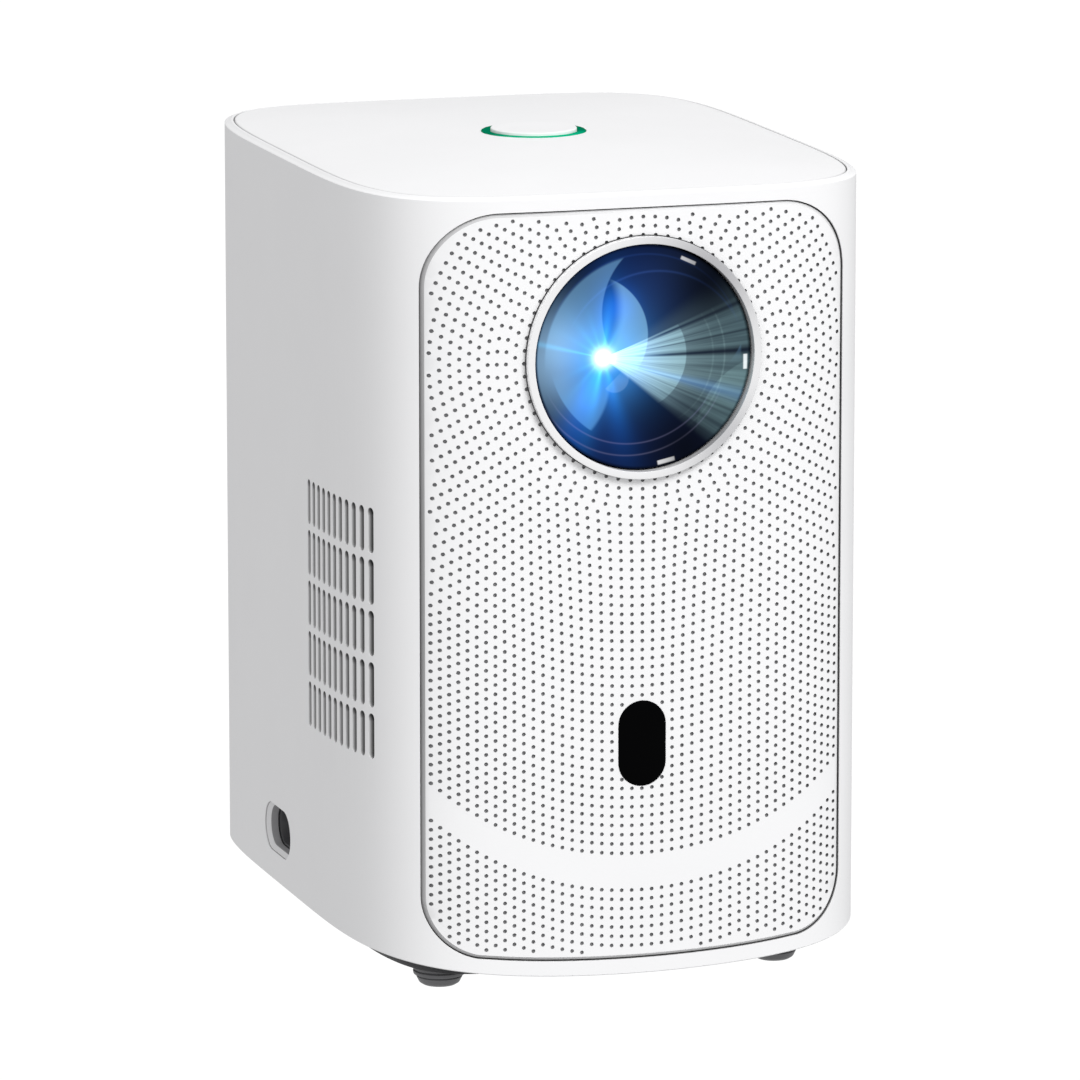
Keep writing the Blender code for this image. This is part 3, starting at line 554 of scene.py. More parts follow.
def make_shell(mats):
    """The one-piece wrap with its chamfered rim, lid seat and every opening."""
    mat = mats["white_plastic"]
    rim = [(0, 1.4), (0, 0.86), (0.12, 0.74), (0.5, 0.59), (1.7, 0.11), (1.97, 0), (WALL - 0.12, 0),
           (WALL, 0.12)]
    seat = [(WALL, 0), (WALL + 1.8, 0), (WALL + 1.8, 1.4), (WALL, 3.4)]
    loops = [body_loop(0.25, lower_edge), body_loop(0, lambda x: lower_edge(x, 0.25))]
    loops += [body_loop(inset, RIM_Z - drop) for inset, drop in rim]
    loops += [body_loop(inset, SEAT_Z - drop) for inset, drop in seat] + [body_loop(WALL, lower_edge)]
    shell = loft("body_shell", loops, mat, ring=True)
    cutters = bmesh.new()
    add_loft(cutters, flared(panel_outline(-0.12), panel_outline(0), FRONT_END, 0.15, wall_y, "Y", -1))
    wide, narrow = (moved(stadium(INLET_W + wider, INLET_H + wider, 12), INLET_Y, INLET_Z)
                    for wider in (0.2, 0.12))
    add_loft(cutters, flared(wide, narrow, INLET_END, 0.04, wall_x, "X", -1))
    wide, narrow = (moved(round_box(PORT_PLATE_W + wider, PORT_PLATE_H + wider, radius), 0, PORT_Z)
                    for wider, radius in ((1.2, 2.3), (0.6, 2.0)))
    add_loft(cutters, flared(wide, narrow, PORT_END, 0.3, wall_y, "Y", 1))
    add_vent(cutters, -1)
    add_vent(cutters, 1)
    cut(shell, to_object(cutters, "shell_cutters", mat))
    return [(mark_depth(shell), "root", "white_plastic", "main_shell")]


def make_lid(mats):
    """The domed lid, hollow below, with a hole for the button and its ring."""
    rings_under, rings_over = 9, 24
    edge = body_loop(LID_INSET, 0)

    def dome_loop(scale, drop):
        height = RIM_Z + DOME * (1 - scale ** 2) - drop
        return [(x * scale, y * scale, height) for x, y, _ in edge]

    loops = [dome_loop(k / rings_under, LID_THICK + 0.4) for k in range(1, rings_under)]
    for inset, drop in ((0, LID_THICK), (0, 0.5), (0.12, 0.2), (0.4, -0.02)):
        loops.append(body_loop(LID_INSET + inset, RIM_Z - drop))
    loops += [dome_loop(0.992 * k / rings_over, 0) for k in range(rings_over, 1, -1)]
    lid = loft("lid_dome", loops, mats["white_plastic"])
    radius, top = LIGHT_R1 + 0.15, RIM_Z + DOME
    mesh = bmesh.new()
    add_lathe(mesh, [(radius, 200), (radius, top - 0.15), (radius + 0.1, top), (radius + 0.1, 240), (0, 240),
                     (0, 200)], "Z", (0, 0, 0), 128)
    cut(lid, to_object(mesh, "lid_cutter", mats["white_plastic"]))
    return [(mark_depth(lid, lid=True), "root", "white_plastic", "top_lid")]


def make_button(mats):
    """The cap that presses in and the clear ring about it, which a status light shines through."""
    stem, cap = (corner.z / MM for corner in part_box("power_button"))
    button = lathe("button_cap", rounded([
        (2.0, stem), (2.0, stem + 0.7), (BUTTON_R, stem + 0.7), (BUTTON_R, cap - 0.02), (9.0, cap - 0.15),
        (0, cap - 0.2), (0, stem)], 0.45), "Z", (0, 0, 0), mats["white_plastic"])
    low, high = (corner.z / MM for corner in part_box("button_light_ring"))
    ring = lathe("status_ring", rounded([
        (LIGHT_R0, low), (16.5, low), (16.5, low + 1.7), (LIGHT_R1, low + 1.7), (LIGHT_R1, high),
        (LIGHT_R0, high)], 0.25), "Z", (0, 0, 0), mats["light_ring"])
    return [(button, "power_button", "white_plastic", "power_button"),
            (ring, "root", "light_ring", "button_light_ring")]


def hole_places():
    """Centres of the holes in the front view, and the lattice's places that carry no hole."""
    holes, blanks = [], []
    for ring in range(-1, RING_COUNT - 1):
        radius = RING_R0 + RING_STEP * ring
        count = 72 if ring == 2 else RING_HOLES + RING_EXTRA * ring
        for k in range(count):
            angle = -math.pi / 2 + 2 * math.pi * k / count
            holes.append((radius * math.cos(angle), RING_Z + radius * math.sin(angle)))
    last = RING_R0 + RING_STEP * (RING_COUNT - 1)
    columns = RING_HOLES + RING_EXTRA * (RING_COUNT - 1)
    for column in range(-26, 27):
        x = last * math.sin(2 * math.pi * column / columns)
        top = RING_Z - math.sqrt(last ** 2 - x ** 2)
        for row in range(ROW_COUNT):
            blank = row in BAND_ROWS or abs(column) > 22
            (blanks if blank else holes).append((x, top - ROW_STEP * row))
    kept = []
    for x, z in holes:
        if not inside_panel(x, z, 2.15):
            continue
        # A hole that would just touch the window moves clear of it, and one well inside it goes
        near = WINDOW_W / 2 + 0.1 + HOLE_R + 0.08 - window_distance(x, z)
        if near < 0.2:
            kept.append((x, z + math.copysign(max(near, 0.0), z - WINDOW_Z)))
    return kept, [(x, z) for x, z in blanks if inside_panel(x, z, 2.3) and clear_of_window(x, z)]


def window_distance(x, z):
    """Distance from the line between the centres of the window's two round ends."""
    half = (WINDOW_H - WINDOW_W) / 2
    return math.hypot(x, z - min(max(z, WINDOW_Z - half), WINDOW_Z + half))


def clear_of_window(x, z):
    return window_distance(x, z) > WINDOW_W / 2 + 1.3


def lens_distance(x, z):
    """Distance outside the lens ring's sleeve."""
    return math.hypot(x, z - LENS_Z) - SLEEVE_R


def triangulate(loops, extra, inset):
    """Flat triangles between an outer loop and the loops inside it.

    Returns the points, the triangles and the place of each given point.
    """
    points, owners, edges = [], [], []
    for index, loop in enumerate(loops):
        start = len(points)
        points += [Vector(p) for p in loop]
        owners += [index] * len(loop)
        edges += [(start + k, start + (k + 1) % len(loop)) for k in range(len(loop))]
    points += [Vector(p) for p in extra]
    owners += [-1] * len(extra)
    flat, _, triangles, sources, _, _ = delaunay_2d_cdt(points, edges, [], 0, 1e-7)
    origin = [owners[s[0]] if s else -1 for s in sources]
    kept = []
    for a, b, c in triangles:
        owner = origin[a]
        if owner >= 0 and owner == origin[b] == origin[c]:
            middle = (flat[a] + flat[b] + flat[c]) / 3
            if owner or not inside_panel(middle.x, middle.y, inset):
                continue
        kept.append((a, b, c))
    where = {original: index for index, source in enumerate(sources) for original in source}
    return flat, kept, where


def circle(x, z, radius, sides, phase=0.0):
    return [(x + radius * math.cos(2 * math.pi * (k + phase) / sides),
             z + radius * math.sin(2 * math.pi * (k + phase) / sides)) for k in range(sides)]


def behind_wall(x, z, depth):
    """A point of the front view, at a depth below the curved wall, moved straight back."""
    return (x, wall_y(x) + depth / abs(wall_normal(x, wall_y(x))[1]), z)


def panel_mesh():
    """The panel's vertices and faces, and the numbers of the faces that are cloth at the foot of a hole."""
    holes, blanks = hole_places()
    opening = circle(0, LENS_Z, SLEEVE_R + 0.3, 180)
    window = moved(stadium(WINDOW_W + 0.2, WINDOW_H + 0.2), 0, WINDOW_Z)
    edge, low_edge = dense(panel_outline(PANEL_EDGE), 1.2), []
    for i, (x, z) in enumerate(edge):
        along = (Vector(edge[(i + 1) % len(edge)]) - Vector(edge[i - 1])).normalized()
        shift = PANEL_EDGE - PANEL_GAP
        low_edge.append((x + along.y * shift, z - along.x * shift))
    drilled = [circle(x, z, HOLE_R, HOLE_SIDES, 0.5) for x, z in holes if lens_distance(x, z) > HOLE_R + 0.4]
    flat, triangles, where = triangulate([edge, opening, window] + drilled,
                                         [p for p in blanks if lens_distance(*p) > 1.5], PANEL_EDGE)
    grid = [(x, z) for x in range(-56, 57, 4) for z in range(16, 212, 4)
            if inside_panel(x, z, 2) and lens_distance(x, z) > 2 and clear_of_window(x, z)]
    rear, rear_triangles, rear_where = triangulate([low_edge, opening, window], grid, PANEL_GAP)

    vertices, faces, cloth = [behind_wall(p.x, p.y, 0.0) for p in flat], list(triangles), set()
    back = len(vertices)
    vertices += [behind_wall(p.x, p.y, PANEL_THICK) for p in rear]
    faces += [(c + back, b + back, a + back) for a, b, c in rear_triangles]

    def add_row(points):
        vertices.extend(points)
        return range(len(vertices) - len(points), len(vertices))

    def add_wall(high, low):
        for i in range(len(high)):
            j = (i + 1) % len(high)
            faces.append((high[j], high[i], low[i], low[j]))

    def front_and_back(first, count):
        numbers = range(first, first + count)
        return [where[k] for k in numbers], [back + rear_where[k] for k in numbers]

    top, bottom = front_and_back(0, len(edge))
    lip = add_row([behind_wall(x + (low_x - x) * 0.05, z + (low_z - z) * 0.05, EDGE_DROP * 0.05)
                   for (x, z), (low_x, low_z) in zip(edge, low_edge)])
    rim = add_row([behind_wall(x, z, EDGE_DROP) for x, z in low_edge])
    for high, low in ((top, lip), (lip, rim), (rim, bottom)):
        add_wall(high, low)
    start = len(edge)
    for loop in (opening, window):
        add_wall(*front_and_back(start, len(loop)))
        start += len(loop)
    for loop in drilled:
        foot = add_row([behind_wall(x, z, HOLE_DEEP) for x, z in loop])
        add_wall([where[start + k] for k in range(HOLE_SIDES)], foot)
        cloth.add(len(faces))
        faces.append(tuple(foot))
        start += HOLE_SIDES
    return vertices, faces, cloth


def make_grille(mats):
    """The front panel: a curved sheet with a sloped edge, drilled down to the cloth behind it."""
    vertices, faces, cloth = panel_mesh()
    data = bpy.data.meshes.new("speaker_panel")
    data.from_pydata([tuple(c * MM for c in v) for v in vertices], [], faces)
    data.materials.append(mats["white_plastic"])
    data.materials.append(mats["cloth"])
    data.polygons.foreach_set("material_index", [int(i in cloth) for i in range(len(faces))])
    mesh = bmesh.new()
    mesh.from_mesh(data)
    bmesh.ops.delete(mesh, geom=[v for v in mesh.verts if not v.link_faces], context="VERTS")
    bmesh.ops.recalc_face_normals(mesh, faces=mesh.faces)
    mesh.to_mesh(data)
    mesh.free()
    soften(data)
    made = add_object("speaker_panel", data)
    mark_depth(made)
    shade_edge(data)
    return made


def shade_edge(data):
    """Paint shade on the panel's sloped edge, one value along each stretch: deepest at the left, lighter to
    the right and toward the top and bottom.
    """
    for vertex, shade in zip(data.vertices, data.attributes["depth"].data):
        x, _, z = vertex.co / MM
        if not inside_panel(x, z, PANEL_EDGE - 0.02) and 0.02 < shade.value < EDGE_DROP + 0.1:
            # Painted shade: lit says how much light the edge is painted as catching there
            lit = 0.5 + (x / PANEL_HALF + abs(z - PANEL_MIDDLE) / PANEL_MIDDLE) * 0.6
            shade.value = EDGE_SHADE * (1 - 0.85 * max(0.0, min(1.0, lit)))


def make_front(mats):
    """The panel, the ring around the lens and the glossy window."""
    grille = make_grille(mats)
    face = -HALF_D
    bezel = lathe("lens_ring", rounded([
        (BEZEL_INNER, face + 8), (BEZEL_INNER, face - 2.1), (BEZEL_R, face - 2.1), (BEZEL_R, face - 0.4),
        (BEZEL_R + 0.2, face - 0.4), (BEZEL_R + 0.2, face + 0.1), (SLEEVE_R, face + 0.1),
        (SLEEVE_R, face + 8)], 0.25), "Y", (0, 0, LENS_Z), mats["bezel_metal"], 192, 25)
    # Painted shadow gap: the flange's outer side next to the panel takes the near-black groove material
    bezel.data.materials.append(mats["groove"])
    for polygon in bezel.data.polygons:
        radius = math.hypot(polygon.center.x, polygon.center.z - LENS_Z * MM)
        polygon.material_index = int(polygon.center.y > (face - 0.45) * MM and radius > (BEZEL_R - 0.3) * MM)
    window = loft("receiver_window", [
        [(x, face + back, z) for x, z in moved(stadium(WINDOW_W - less, WINDOW_H - less), 0, WINDOW_Z)]
        for less, back in ((0.5, -0.3), (0.2, -0.22), (0, 0), (0, 4.5))], mats["window_plastic"])
    return [(grille, "root", "white_plastic", "front_grille"), (bezel, "root", "bezel_metal", "lens_bezel"),
            (window, "root", "window_plastic", "ir_window")]


def make_base(mats):
    """The bottom tray, with bores for the screws, feet and tripod insert, and the four feet."""
    tray = loft("bottom_tray", [
        body_loop(10.5, FLOOR_Z), body_loop(9.9, FLOOR_Z + 0.3), body_loop(WALL + 1.1, TRAY_TOP - 0.3),
        body_loop(WALL + 0.9, TRAY_TOP), body_loop(WALL + 3.5, TRAY_TOP), body_loop(12.2, FLOOR_Z + 2.9),
    ], mats["black_plastic"])
    mesh = bmesh.new()
    add_lathe(mesh, [(5.3, 0), (5.3, 20), (0, 20), (0, 0)], "Z", (0, 0, 0), 64)
    feet = []
    profile = rounded([
        (0, 0), (4.4, 0), (5.5, 0.7), (6.3, 2.3), (5.9, 2.5), (5.9, 2.7), (7.0, 2.9), (7.2, 3.9), (6.7, 4.1),
        (6.7, 4.3), (7.3, 4.5), (7.3, FLOOR_Z - 0.3), (2.7, FLOOR_Z - 0.3), (2.7, FLOOR_Z + 2.5),
        (0, FLOOR_Z + 2.5)], 0.25)
    head = FLOOR_Z + 1.9
    for name, x, y in (("front_left", -1, -1), ("front_right", 1, -1), ("rear_left", -1, 1),
                       ("rear_right", 1, 1)):
        add_lathe(mesh, [(3.3, 0), (3.3, head), (1.75, head), (1.75, 20), (0, 20), (0, 0)], "Z",
                  (x * SCREW_X, y * SCREW_Y, 0), 40)
        place_at = (x * FOOT_X, y * FOOT_Y, 0)
        add_lathe(mesh, [(3.0, 0), (3.0, 20), (0, 20), (0, 0)], "Z", place_at, 40)
        foot = lathe(f"foot_pad_{name}", profile, "Z", place_at, mats["foot_rubber"], 96)
        feet.append((foot, "root", "foot_rubber", f"foot_{name}"))
    cut(tray, to_object(mesh, "tray_cutters", mats["black_plastic"]))
    return [(tray, "root", "black_plastic", "base_plate")] + feet


def make_inlet(mats):
    """The power inlet: a light chamfered mouth, a grey step, a groove in near-black painted shade, a dark
    well and two pins.
    """
    outer = -HALF_W + 0.35
    loops = [(21, INLET_W, INLET_H), (0.15, INLET_W, INLET_H), (0, INLET_W - 0.1, INLET_H - 0.1),
             (0.9, 23.9, 11.8), (1.1, 23.4, 11.4), (3.1, 23.4, 11.4), (3.1, 22.4, 11.1), (3.4, 22.3, 11.0),
             (3.5, 20.9, 10.2), (3.9, 20.6, 10.0), (5.5, 20.0, 9.8), (5.5, 16.8, 9.0), (18.0, 16.8, 9.0)]
    socket = loft("power_socket", [
        [(outer + depth, *p) for p in moved(stadium(wide, high), INLET_Y, INLET_Z)]
        for depth, wide, high in loops], mats["rim"], smooth=25)
    ends = {"inlet": 1.05, "groove": 3.05, "well": 3.42}
    for key in ends:
        socket.data.materials.append(mats[key])
    for polygon in socket.data.polygons:
        depth = polygon.center.x / MM - outer
        polygon.material_index = sum(depth >= end for end in ends.values())
    tip, root = outer + 7.4, outer + 17.9
    made = [(socket, "root", "grey_plastic", "ac_inlet")]
    for name, shift in (("front", -4.3), ("rear", 4.3)):
        pin = lathe(f"socket_pin_{name}", rounded([(0, tip), (1.2, tip), (1.2, root), (0, root)], 0.8, 5),
                    "X", (0, INLET_Y + shift, INLET_Z), mats["brass"], 48)
        made.append((pin, "root", "brass", f"ac_pin_{name}"))
    return made


def make_rear(mats):
    """The plate over the rear sockets, the wide and square sockets each with the tongue inside it, and the
    round jack.
    """
    back = HALF_D - 0.5
    loops = []
    for less, radius, y in ((0, 1.7, -1.8), (0, 1.7, -0.3), (0.6, 1.4, 0)):
        outline = round_box(PORT_PLATE_W - less, PORT_PLATE_H - less, radius)
        loops.append([(x, back + y, z) for x, z in moved(outline, 0, PORT_Z)])
    plate = loft("rear_plate", loops, mats["black_plastic"])
    mesh = bmesh.new()
    for x, width, height in ((HDMI_X, 16.0, 7.0), (USB_X, 14.6, 7.6)):
        outline = moved(round_box(width, height, 0.7), x, PORT_Z)
        add_loft(mesh, [[(a, y, b) for a, b in outline] for y in (80, 100)])
    add_lathe(mesh, [(3.3, 80), (3.3, 100), (0, 100), (0, 80)], "Y", (AUDIO_X, 0, PORT_Z), 64)
    cut(plate, to_object(mesh, "plate_cutters", mats["black_plastic"]))
    back = HALF_D - 0.8
    hdmi = [(-7.7, 3.2), (7.7, 3.2), (7.7, -0.6), (5.6, -3.2), (-5.6, -3.2), (-7.7, -0.6)]
    inner = [(-7.0, 2.5), (7.0, 2.5), (7.0, -0.4), (5.2, -2.5), (-5.2, -2.5), (-7.0, -0.4)]
    wide = open_socket("socket_wide", HDMI_X, hdmi, inner, (-5.6, 5.6, -0.3, 0.9), back, mats)
    usb = [(-7.0, 3.5), (7.0, 3.5), (7.0, -3.5), (-7.0, -3.5)]
    inner = [(-6.3, 2.8), (6.3, 2.8), (6.3, -2.8), (-6.3, -2.8)]
    square = open_socket("socket_square", USB_X, usb, inner, (-5.6, 5.6, 0.5, 2.2), back, mats)
    jack = lathe("socket_round", rounded([
        (1.8, back), (3.0, back), (3.0, PORT_FLOOR), (0, PORT_FLOOR), (0, PORT_FLOOR + 2),
        (1.8, PORT_FLOOR + 2)], 0.25), "Y", (AUDIO_X, 0, PORT_Z), mats["black_plastic"], 64)
    return [(plate, "root", "black_plastic", "rear_port_plate"), (wide, "root", "steel", "hdmi_port"),
            (square, "root", "steel", "usb_port"), (jack, "root", "black_plastic", "audio_jack")]


def open_socket(name, x, outer, inner, tongue, back, mats):
    """A sheet-metal socket, closed at its front end, with a tongue joined to its floor."""
    made = loft(name, [[(x + a, y, PORT_Z + b) for a, b in shape] for shape, y in (
        (outer, PORT_FLOOR), (outer, back), (inner, back), (inner, PORT_FLOOR + 1.5))], mats["steel"])
    x0, x1, z0, z1 = tongue
    bar = loft("tongue", [[(x + a, y, PORT_Z + b) for a, b in ((x0, z0), (x1, z0), (x1, z1), (x0, z1))]
                          for y in (PORT_FLOOR + 1.3, back - 1.4, back - 1.0)], mats["steel"])
    cut(made, bar, "UNION")
    return made


# ---- lens ----

def math_node(tree, operation, a, b=None):
    made = tree.nodes.new("ShaderNodeMath")
    made.operation = operation
    connect(made.inputs[0], a)
    if b is not None:
        connect(made.inputs[1], b)
    return made.outputs[0]


class Field:
    """Arithmetic on numbers that vary over a surface, as nodes."""

    def __init__(self, tree, value):
        self.tree, self.value = tree, value

    def op(self, operation, other=None):
        return Field(self.tree, math_node(self.tree, operation, self.value, other))

    def __add__(self, other):
        return self.op("ADD", other)

    def __sub__(self, other):
        return self.op("SUBTRACT", other)

    def __mul__(self, other):
        return self.op("MULTIPLY", other)

    def __truediv__(self, other):
        return self.op("DIVIDE", other)

    def abs(self):
        return self.op("ABSOLUTE")

    def bell(self):
        """exp(-v^2)"""
        return (self * self * -1).op("EXPONENT")

    def fade(self, length):
        """exp(-v / length)"""
        return (self * (-1 / length)).op("EXPONENT")

    def step(self, edge, soft):
        """0 below edge, 1 above it, over a soft width centred on it."""
        return Field(self.tree, map_range(self.tree, self.value, edge - soft / 2, edge + soft / 2,
                                          kind="SMOOTHSTEP"))


def lens_layers(x, z, streaks):
    """What the lit lens shows, all painted as emitted light: (colour, amount) layers of glow, painted
    reflections and painted highlights, and a painted shade over them all.

    x and z are in mm from the lens axis, and streaks(angle, distance) gives uneven beams.
    """
    def distance(at_x, at_z):
        dx, dz = x - at_x, z - at_z
        return (dx * dx + dz * dz).op("SQRT")

    def below(field, edge, soft):
        return field.step(edge, soft) * -1 + 1

    # Fields about the burst, which the beams and rays leave, and about the lens axis
    burst_x, burst_z = -11.6, 0.6
    near = distance(burst_x, burst_z)
    angle = (z - burst_z).op("ARCTAN2", x - burst_x) * (180 / math.pi)
    middle = distance(0, 0)

    def spot(at_x, at_z, size):
        return (distance(at_x, at_z) / size).bell()

    def ray(direction, width, length, strength):
        turned = (((angle - direction) / 360 + 0.5).op("FRACT") - 0.5) * 360
        return (turned / width).bell() * near.fade(length) * strength

    # Coated glass, painted as emitted light: navy above and below, with a deep blue glow beside the burst
    layers = [
        ((0.0015, 0.003, 0.013), middle * 0 + 1),
        ((0.004, 0.016, 0.085), spot(-2, 18, 12)),
        ((0.003, 0.009, 0.055), spot(-11, -20, 11)),
        ((0.0, 0.06, 0.40), spot(-7.5, 14, 4.6)),
        ((0.005, 0.009, 0.015), below(distance(14, 12), 17, 16) * z.step(6, 10)),
    ]

    # Painted pale reflections: a lobe upper left, the left side, a patch low on the left, a crescent over
    # the fan, and a small wedge under the burst
    lobe = distance(9, 12).step(20.8, 0.5) * below(middle, 27.3, 0.8) * z.step(2, 12)
    side = below(middle, 29.5, 0.8) * (x * -1).step(17, 16) * spot(-25, 1, 12)
    patch = below(distance(0, 3), 26.3, 0.5) * below(distance(-29, -6), 19.2, 1.2) * (z * -1).step(7, 10)
    crescent = below(distance(-15.5, 6.3), 16.3, 0.45) * distance(-29, 14).step(22.0, 3.5) * z.step(-1, 6)
    wedge = below(distance(-8.2, -5.2), 3.7, 0.5) * (x + z * -1).step(-3.2, 0.6) * (z * -1).step(4.0, 4)
    layers += [((0.075, 0.165, 0.26), lobe), ((0.20, 0.32, 0.42), side), ((0.055, 0.15, 0.27), patch),
               ((0.13, 0.27, 0.36), crescent), ((0.06, 0.09, 0.12), wedge)]

    # The fan of beams, painted light: streaks that depend mostly on the angle about the burst
    lines = x * 0
    for at, width, strength in ((18.6, 1.5, 1.0), (7.6, 0.6, 0.6), (11.5, 0.5, 0.3), (0, 1.5, 0.9),
                                (-24, 0.7, 0.35), (-31, 0.8, 0.3)):
        lines = lines + ((angle - at) / width).bell() * strength
    lines = lines * near.step(12, 14)
    fan = angle.step(-36, 10) * below(angle, 20.4, 2.4)
    fan = fan * (streaks(angle, near) * 0.5 + 0.6) * (lines * -1 + 1)
    fan = fan * (below(angle, -23, 12) * near.step(22, 14) * -0.5 + 1)
    haze = angle.step(18, 6) * below(angle, 28, 12) * near.step(10, 12)
    layers += [
        ((0.07, 0.11, 0.11), haze * 0.4),
        ((0.125, 0.215, 0.225), fan * near.fade(75)),
        ((0.70, 0.95, 1.05), fan * near.fade(9.5)),
        ((0.15, 0.25, 0.28), below(distance(-3.0, 0.6), 14.6, 0.4) * fan),
        ((0.05, 0.085, 0.085), below(distance(35, -22), 20.5, 0.5) * fan),
        ((0.02, 0.13, 0.42), ((angle + 17.3) / 2.6).bell() * near.fade(34) * near.step(6, 8)),
        ((0.10, 0.15, 0.15), ((middle - 19.3) / 0.25).bell() * fan * 0.35),
        ((0.10, 0.15, 0.15), ((middle - 22.6) / 0.25).bell() * fan * 0.5),
    ]

    # The burst, the lamp's light painted on the glass: star rays, blue lobes below it, halo and white core
    star = x * 0
    for spike in ((83, 6, 5.0, 1.1), (166, 2.6, 16, 0.75), (259, 6, 6.0, 1.6), (60, 5, 3.6, 0.8),
                  (128, 5, 4.0, 0.7), (205, 6, 3.6, 0.6), (288, 6, 4.4, 0.8), (228, 5, 4.6, 0.7),
                  (108, 4, 4.0, 0.6), (148, 4, 4.0, 0.5)):
        star = star + ray(*spike)
    layers += [
        ((0.05, 0.55, 0.95), star * 0.8),
        ((0.0, 0.17, 0.85), ray(249, 15, 11, 1.9) + ray(284, 9, 10, 1.0) + ray(84, 13, 8, 1.0)),
        ((0.06, 0.30, 0.95), (near / 11.0).bell() * 0.8),
        ((0.06, 0.50, 0.95), near.fade(4.6) * 0.9),
        ((0.75, 0.95, 1.0), (near / 2.3).bell() * 2.8),
    ]

    # Thin painted arcs: edges of the elements inside, and painted highlights: small bright window
    # reflections
    arcs = [((-3.5, 2.5), 25.5, 0.22, (0.05, 0.05, 0.09), -1),
            ((-3.5, 1), 27.2, 0.22, (0.05, 0.05, 0.08), -1),
            ((0, 0), 27.6, 0.25, (0.004, 0.012, 0.05), 1),
            ((3, -3), 26.0, 0.3, (0.01, 0.025, 0.09), 1)]
    for centre, radius, width, colour, way in arcs:
        layers.append((colour, ((distance(*centre) - radius) / width).bell() * (z * way).step(12, 10)))
    highlight_bars = [(12.5, 25.3, 2.2, 0.45, -25, 0.8), (28.6, -2.6, 0.55, 2.0, 0, 0.75),
            (6.5, -28.2, 2.4, 0.6, 12, 0.85)]
    for at_x, at_z, wide, high, turn, strength in highlight_bars:
        cos, sin = math.cos(math.radians(turn)), math.sin(math.radians(turn))
        dx, dz = x - at_x, z - at_z
        across, along = (dx * cos + dz * sin).abs(), (dz * cos - dx * sin).abs()
        layers.append(((1.0, 1.0, 1.0), below(across, wide, 0.5) * below(along, high, 0.3) * strength))

    # Painted shade: darker at the rim, at the upper right and low on the right
    shade = (middle.step(29.5, 0.8) * -0.7 + 1) * (spot(19, 19, 11) * -0.85 + 1)
    return layers, shade * (spot(12, -25, 7) * -0.75 + 1)


def vector_math(tree, operation, first, second):
    made = tree.nodes.new("ShaderNodeVectorMath")
    made.operation = operation
    connect(made.inputs[0], first)
    connect(made.inputs["Scale" if operation == "SCALE" else 1], second)
    return made.outputs["Vector"]


def lens_painted_light(tree):
    """The lit lens, painted as emitted light: a burst left of centre, a fan of beams to the right, and
    painted reflections of the elements.
    """
    def streaks(angle, near):
        """Uneven beams: noise that changes with the angle and hardly with the distance."""
        vector = add_node(tree, "CombineXYZ", X=angle * 0.11, Y=near * 0.006).outputs["Vector"]
        return Field(tree, noise(tree, vector, 3.4, 2.5, 0.6)).step(0.5, 0.4)

    layers, shade = lens_layers(*front_view(tree), streaks)
    total = (0.0, 0.0, 0.0)
    for colour, amount in layers:
        lit = vector_math(tree, "SCALE", colour, amount.op("MAXIMUM", 0.0))
        total = vector_math(tree, "ADD", total, lit)
    return vector_math(tree, "SCALE", total, shade)


def object_axes(tree):
    """X, Y and Z in the object's own space, as fields."""
    split = add_node(tree, "SeparateXYZ", Vector=add_node(tree, "TexCoord").outputs["Object"])
    return [Field(tree, split.outputs[axis]) for axis in "XYZ"]


def front_view(tree):
    """Millimetres across and up from the lens axis, as fields."""
    x, _, z = object_axes(tree)
    return x / MM, z / MM - LENS_Z


def lens_material(name):
    """Dark coated glass with the lit lens painted on it as emitted light."""
    made, tree, shader = new_material(name, (0.0012, 0.002, 0.005), 0.08, Specular_IOR_Level=0.03,
                                      Emission_Strength=1.0)
    set_inputs(shader, Emission_Color=lens_painted_light(tree))
    set_roughness(tree, shader, noise(tree, coordinates(tree), 60.0, 3.0), 0.03, 0.07)
    return made


def make_lens(mats):
    """The domed front glass and the tube that holds it."""
    low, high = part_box("lens_front")
    front, back, seat = low.y / MM, high.y / MM, high.x / MM
    radius, drop = seat + 0.8, 1.8
    bend = (radius ** 2 + drop ** 2) / (2 * drop)
    steps = 24
    dome = [(out, front + bend - math.sqrt(bend ** 2 - out ** 2))
            for out in (radius * k / steps for k in range(steps + 1))]
    edge = front + drop
    rear = [(radius, edge + 0.6), (seat, edge + 0.6), (seat, back - 1.7), (20, back - 0.7), (0, back)]
    glass_piece = lathe("lens_glass_front", dome + rear, "Y", (0, 0, LENS_Z), mats["lens"], 160, 40)
    mouth, outer = edge + 0.8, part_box("lens_barrel")[1].x / MM
    tube = lathe("lens_tube", [
        (outer, mouth + 0.2), (outer, -40), (22.6, -40), (22.6, -56), (28.2, -56), (28.2, -84), (29.5, -84),
        (29.5, mouth), (outer - 0.2, mouth)], "Y", (0, 0, LENS_Z), mats["black_plastic"], 160)
    return [(glass_piece, "lens_barrel", "lens_glass", "lens_front"),
            (tube, "lens_barrel", "black_plastic", "lens_barrel")]


# ---- the scene ----

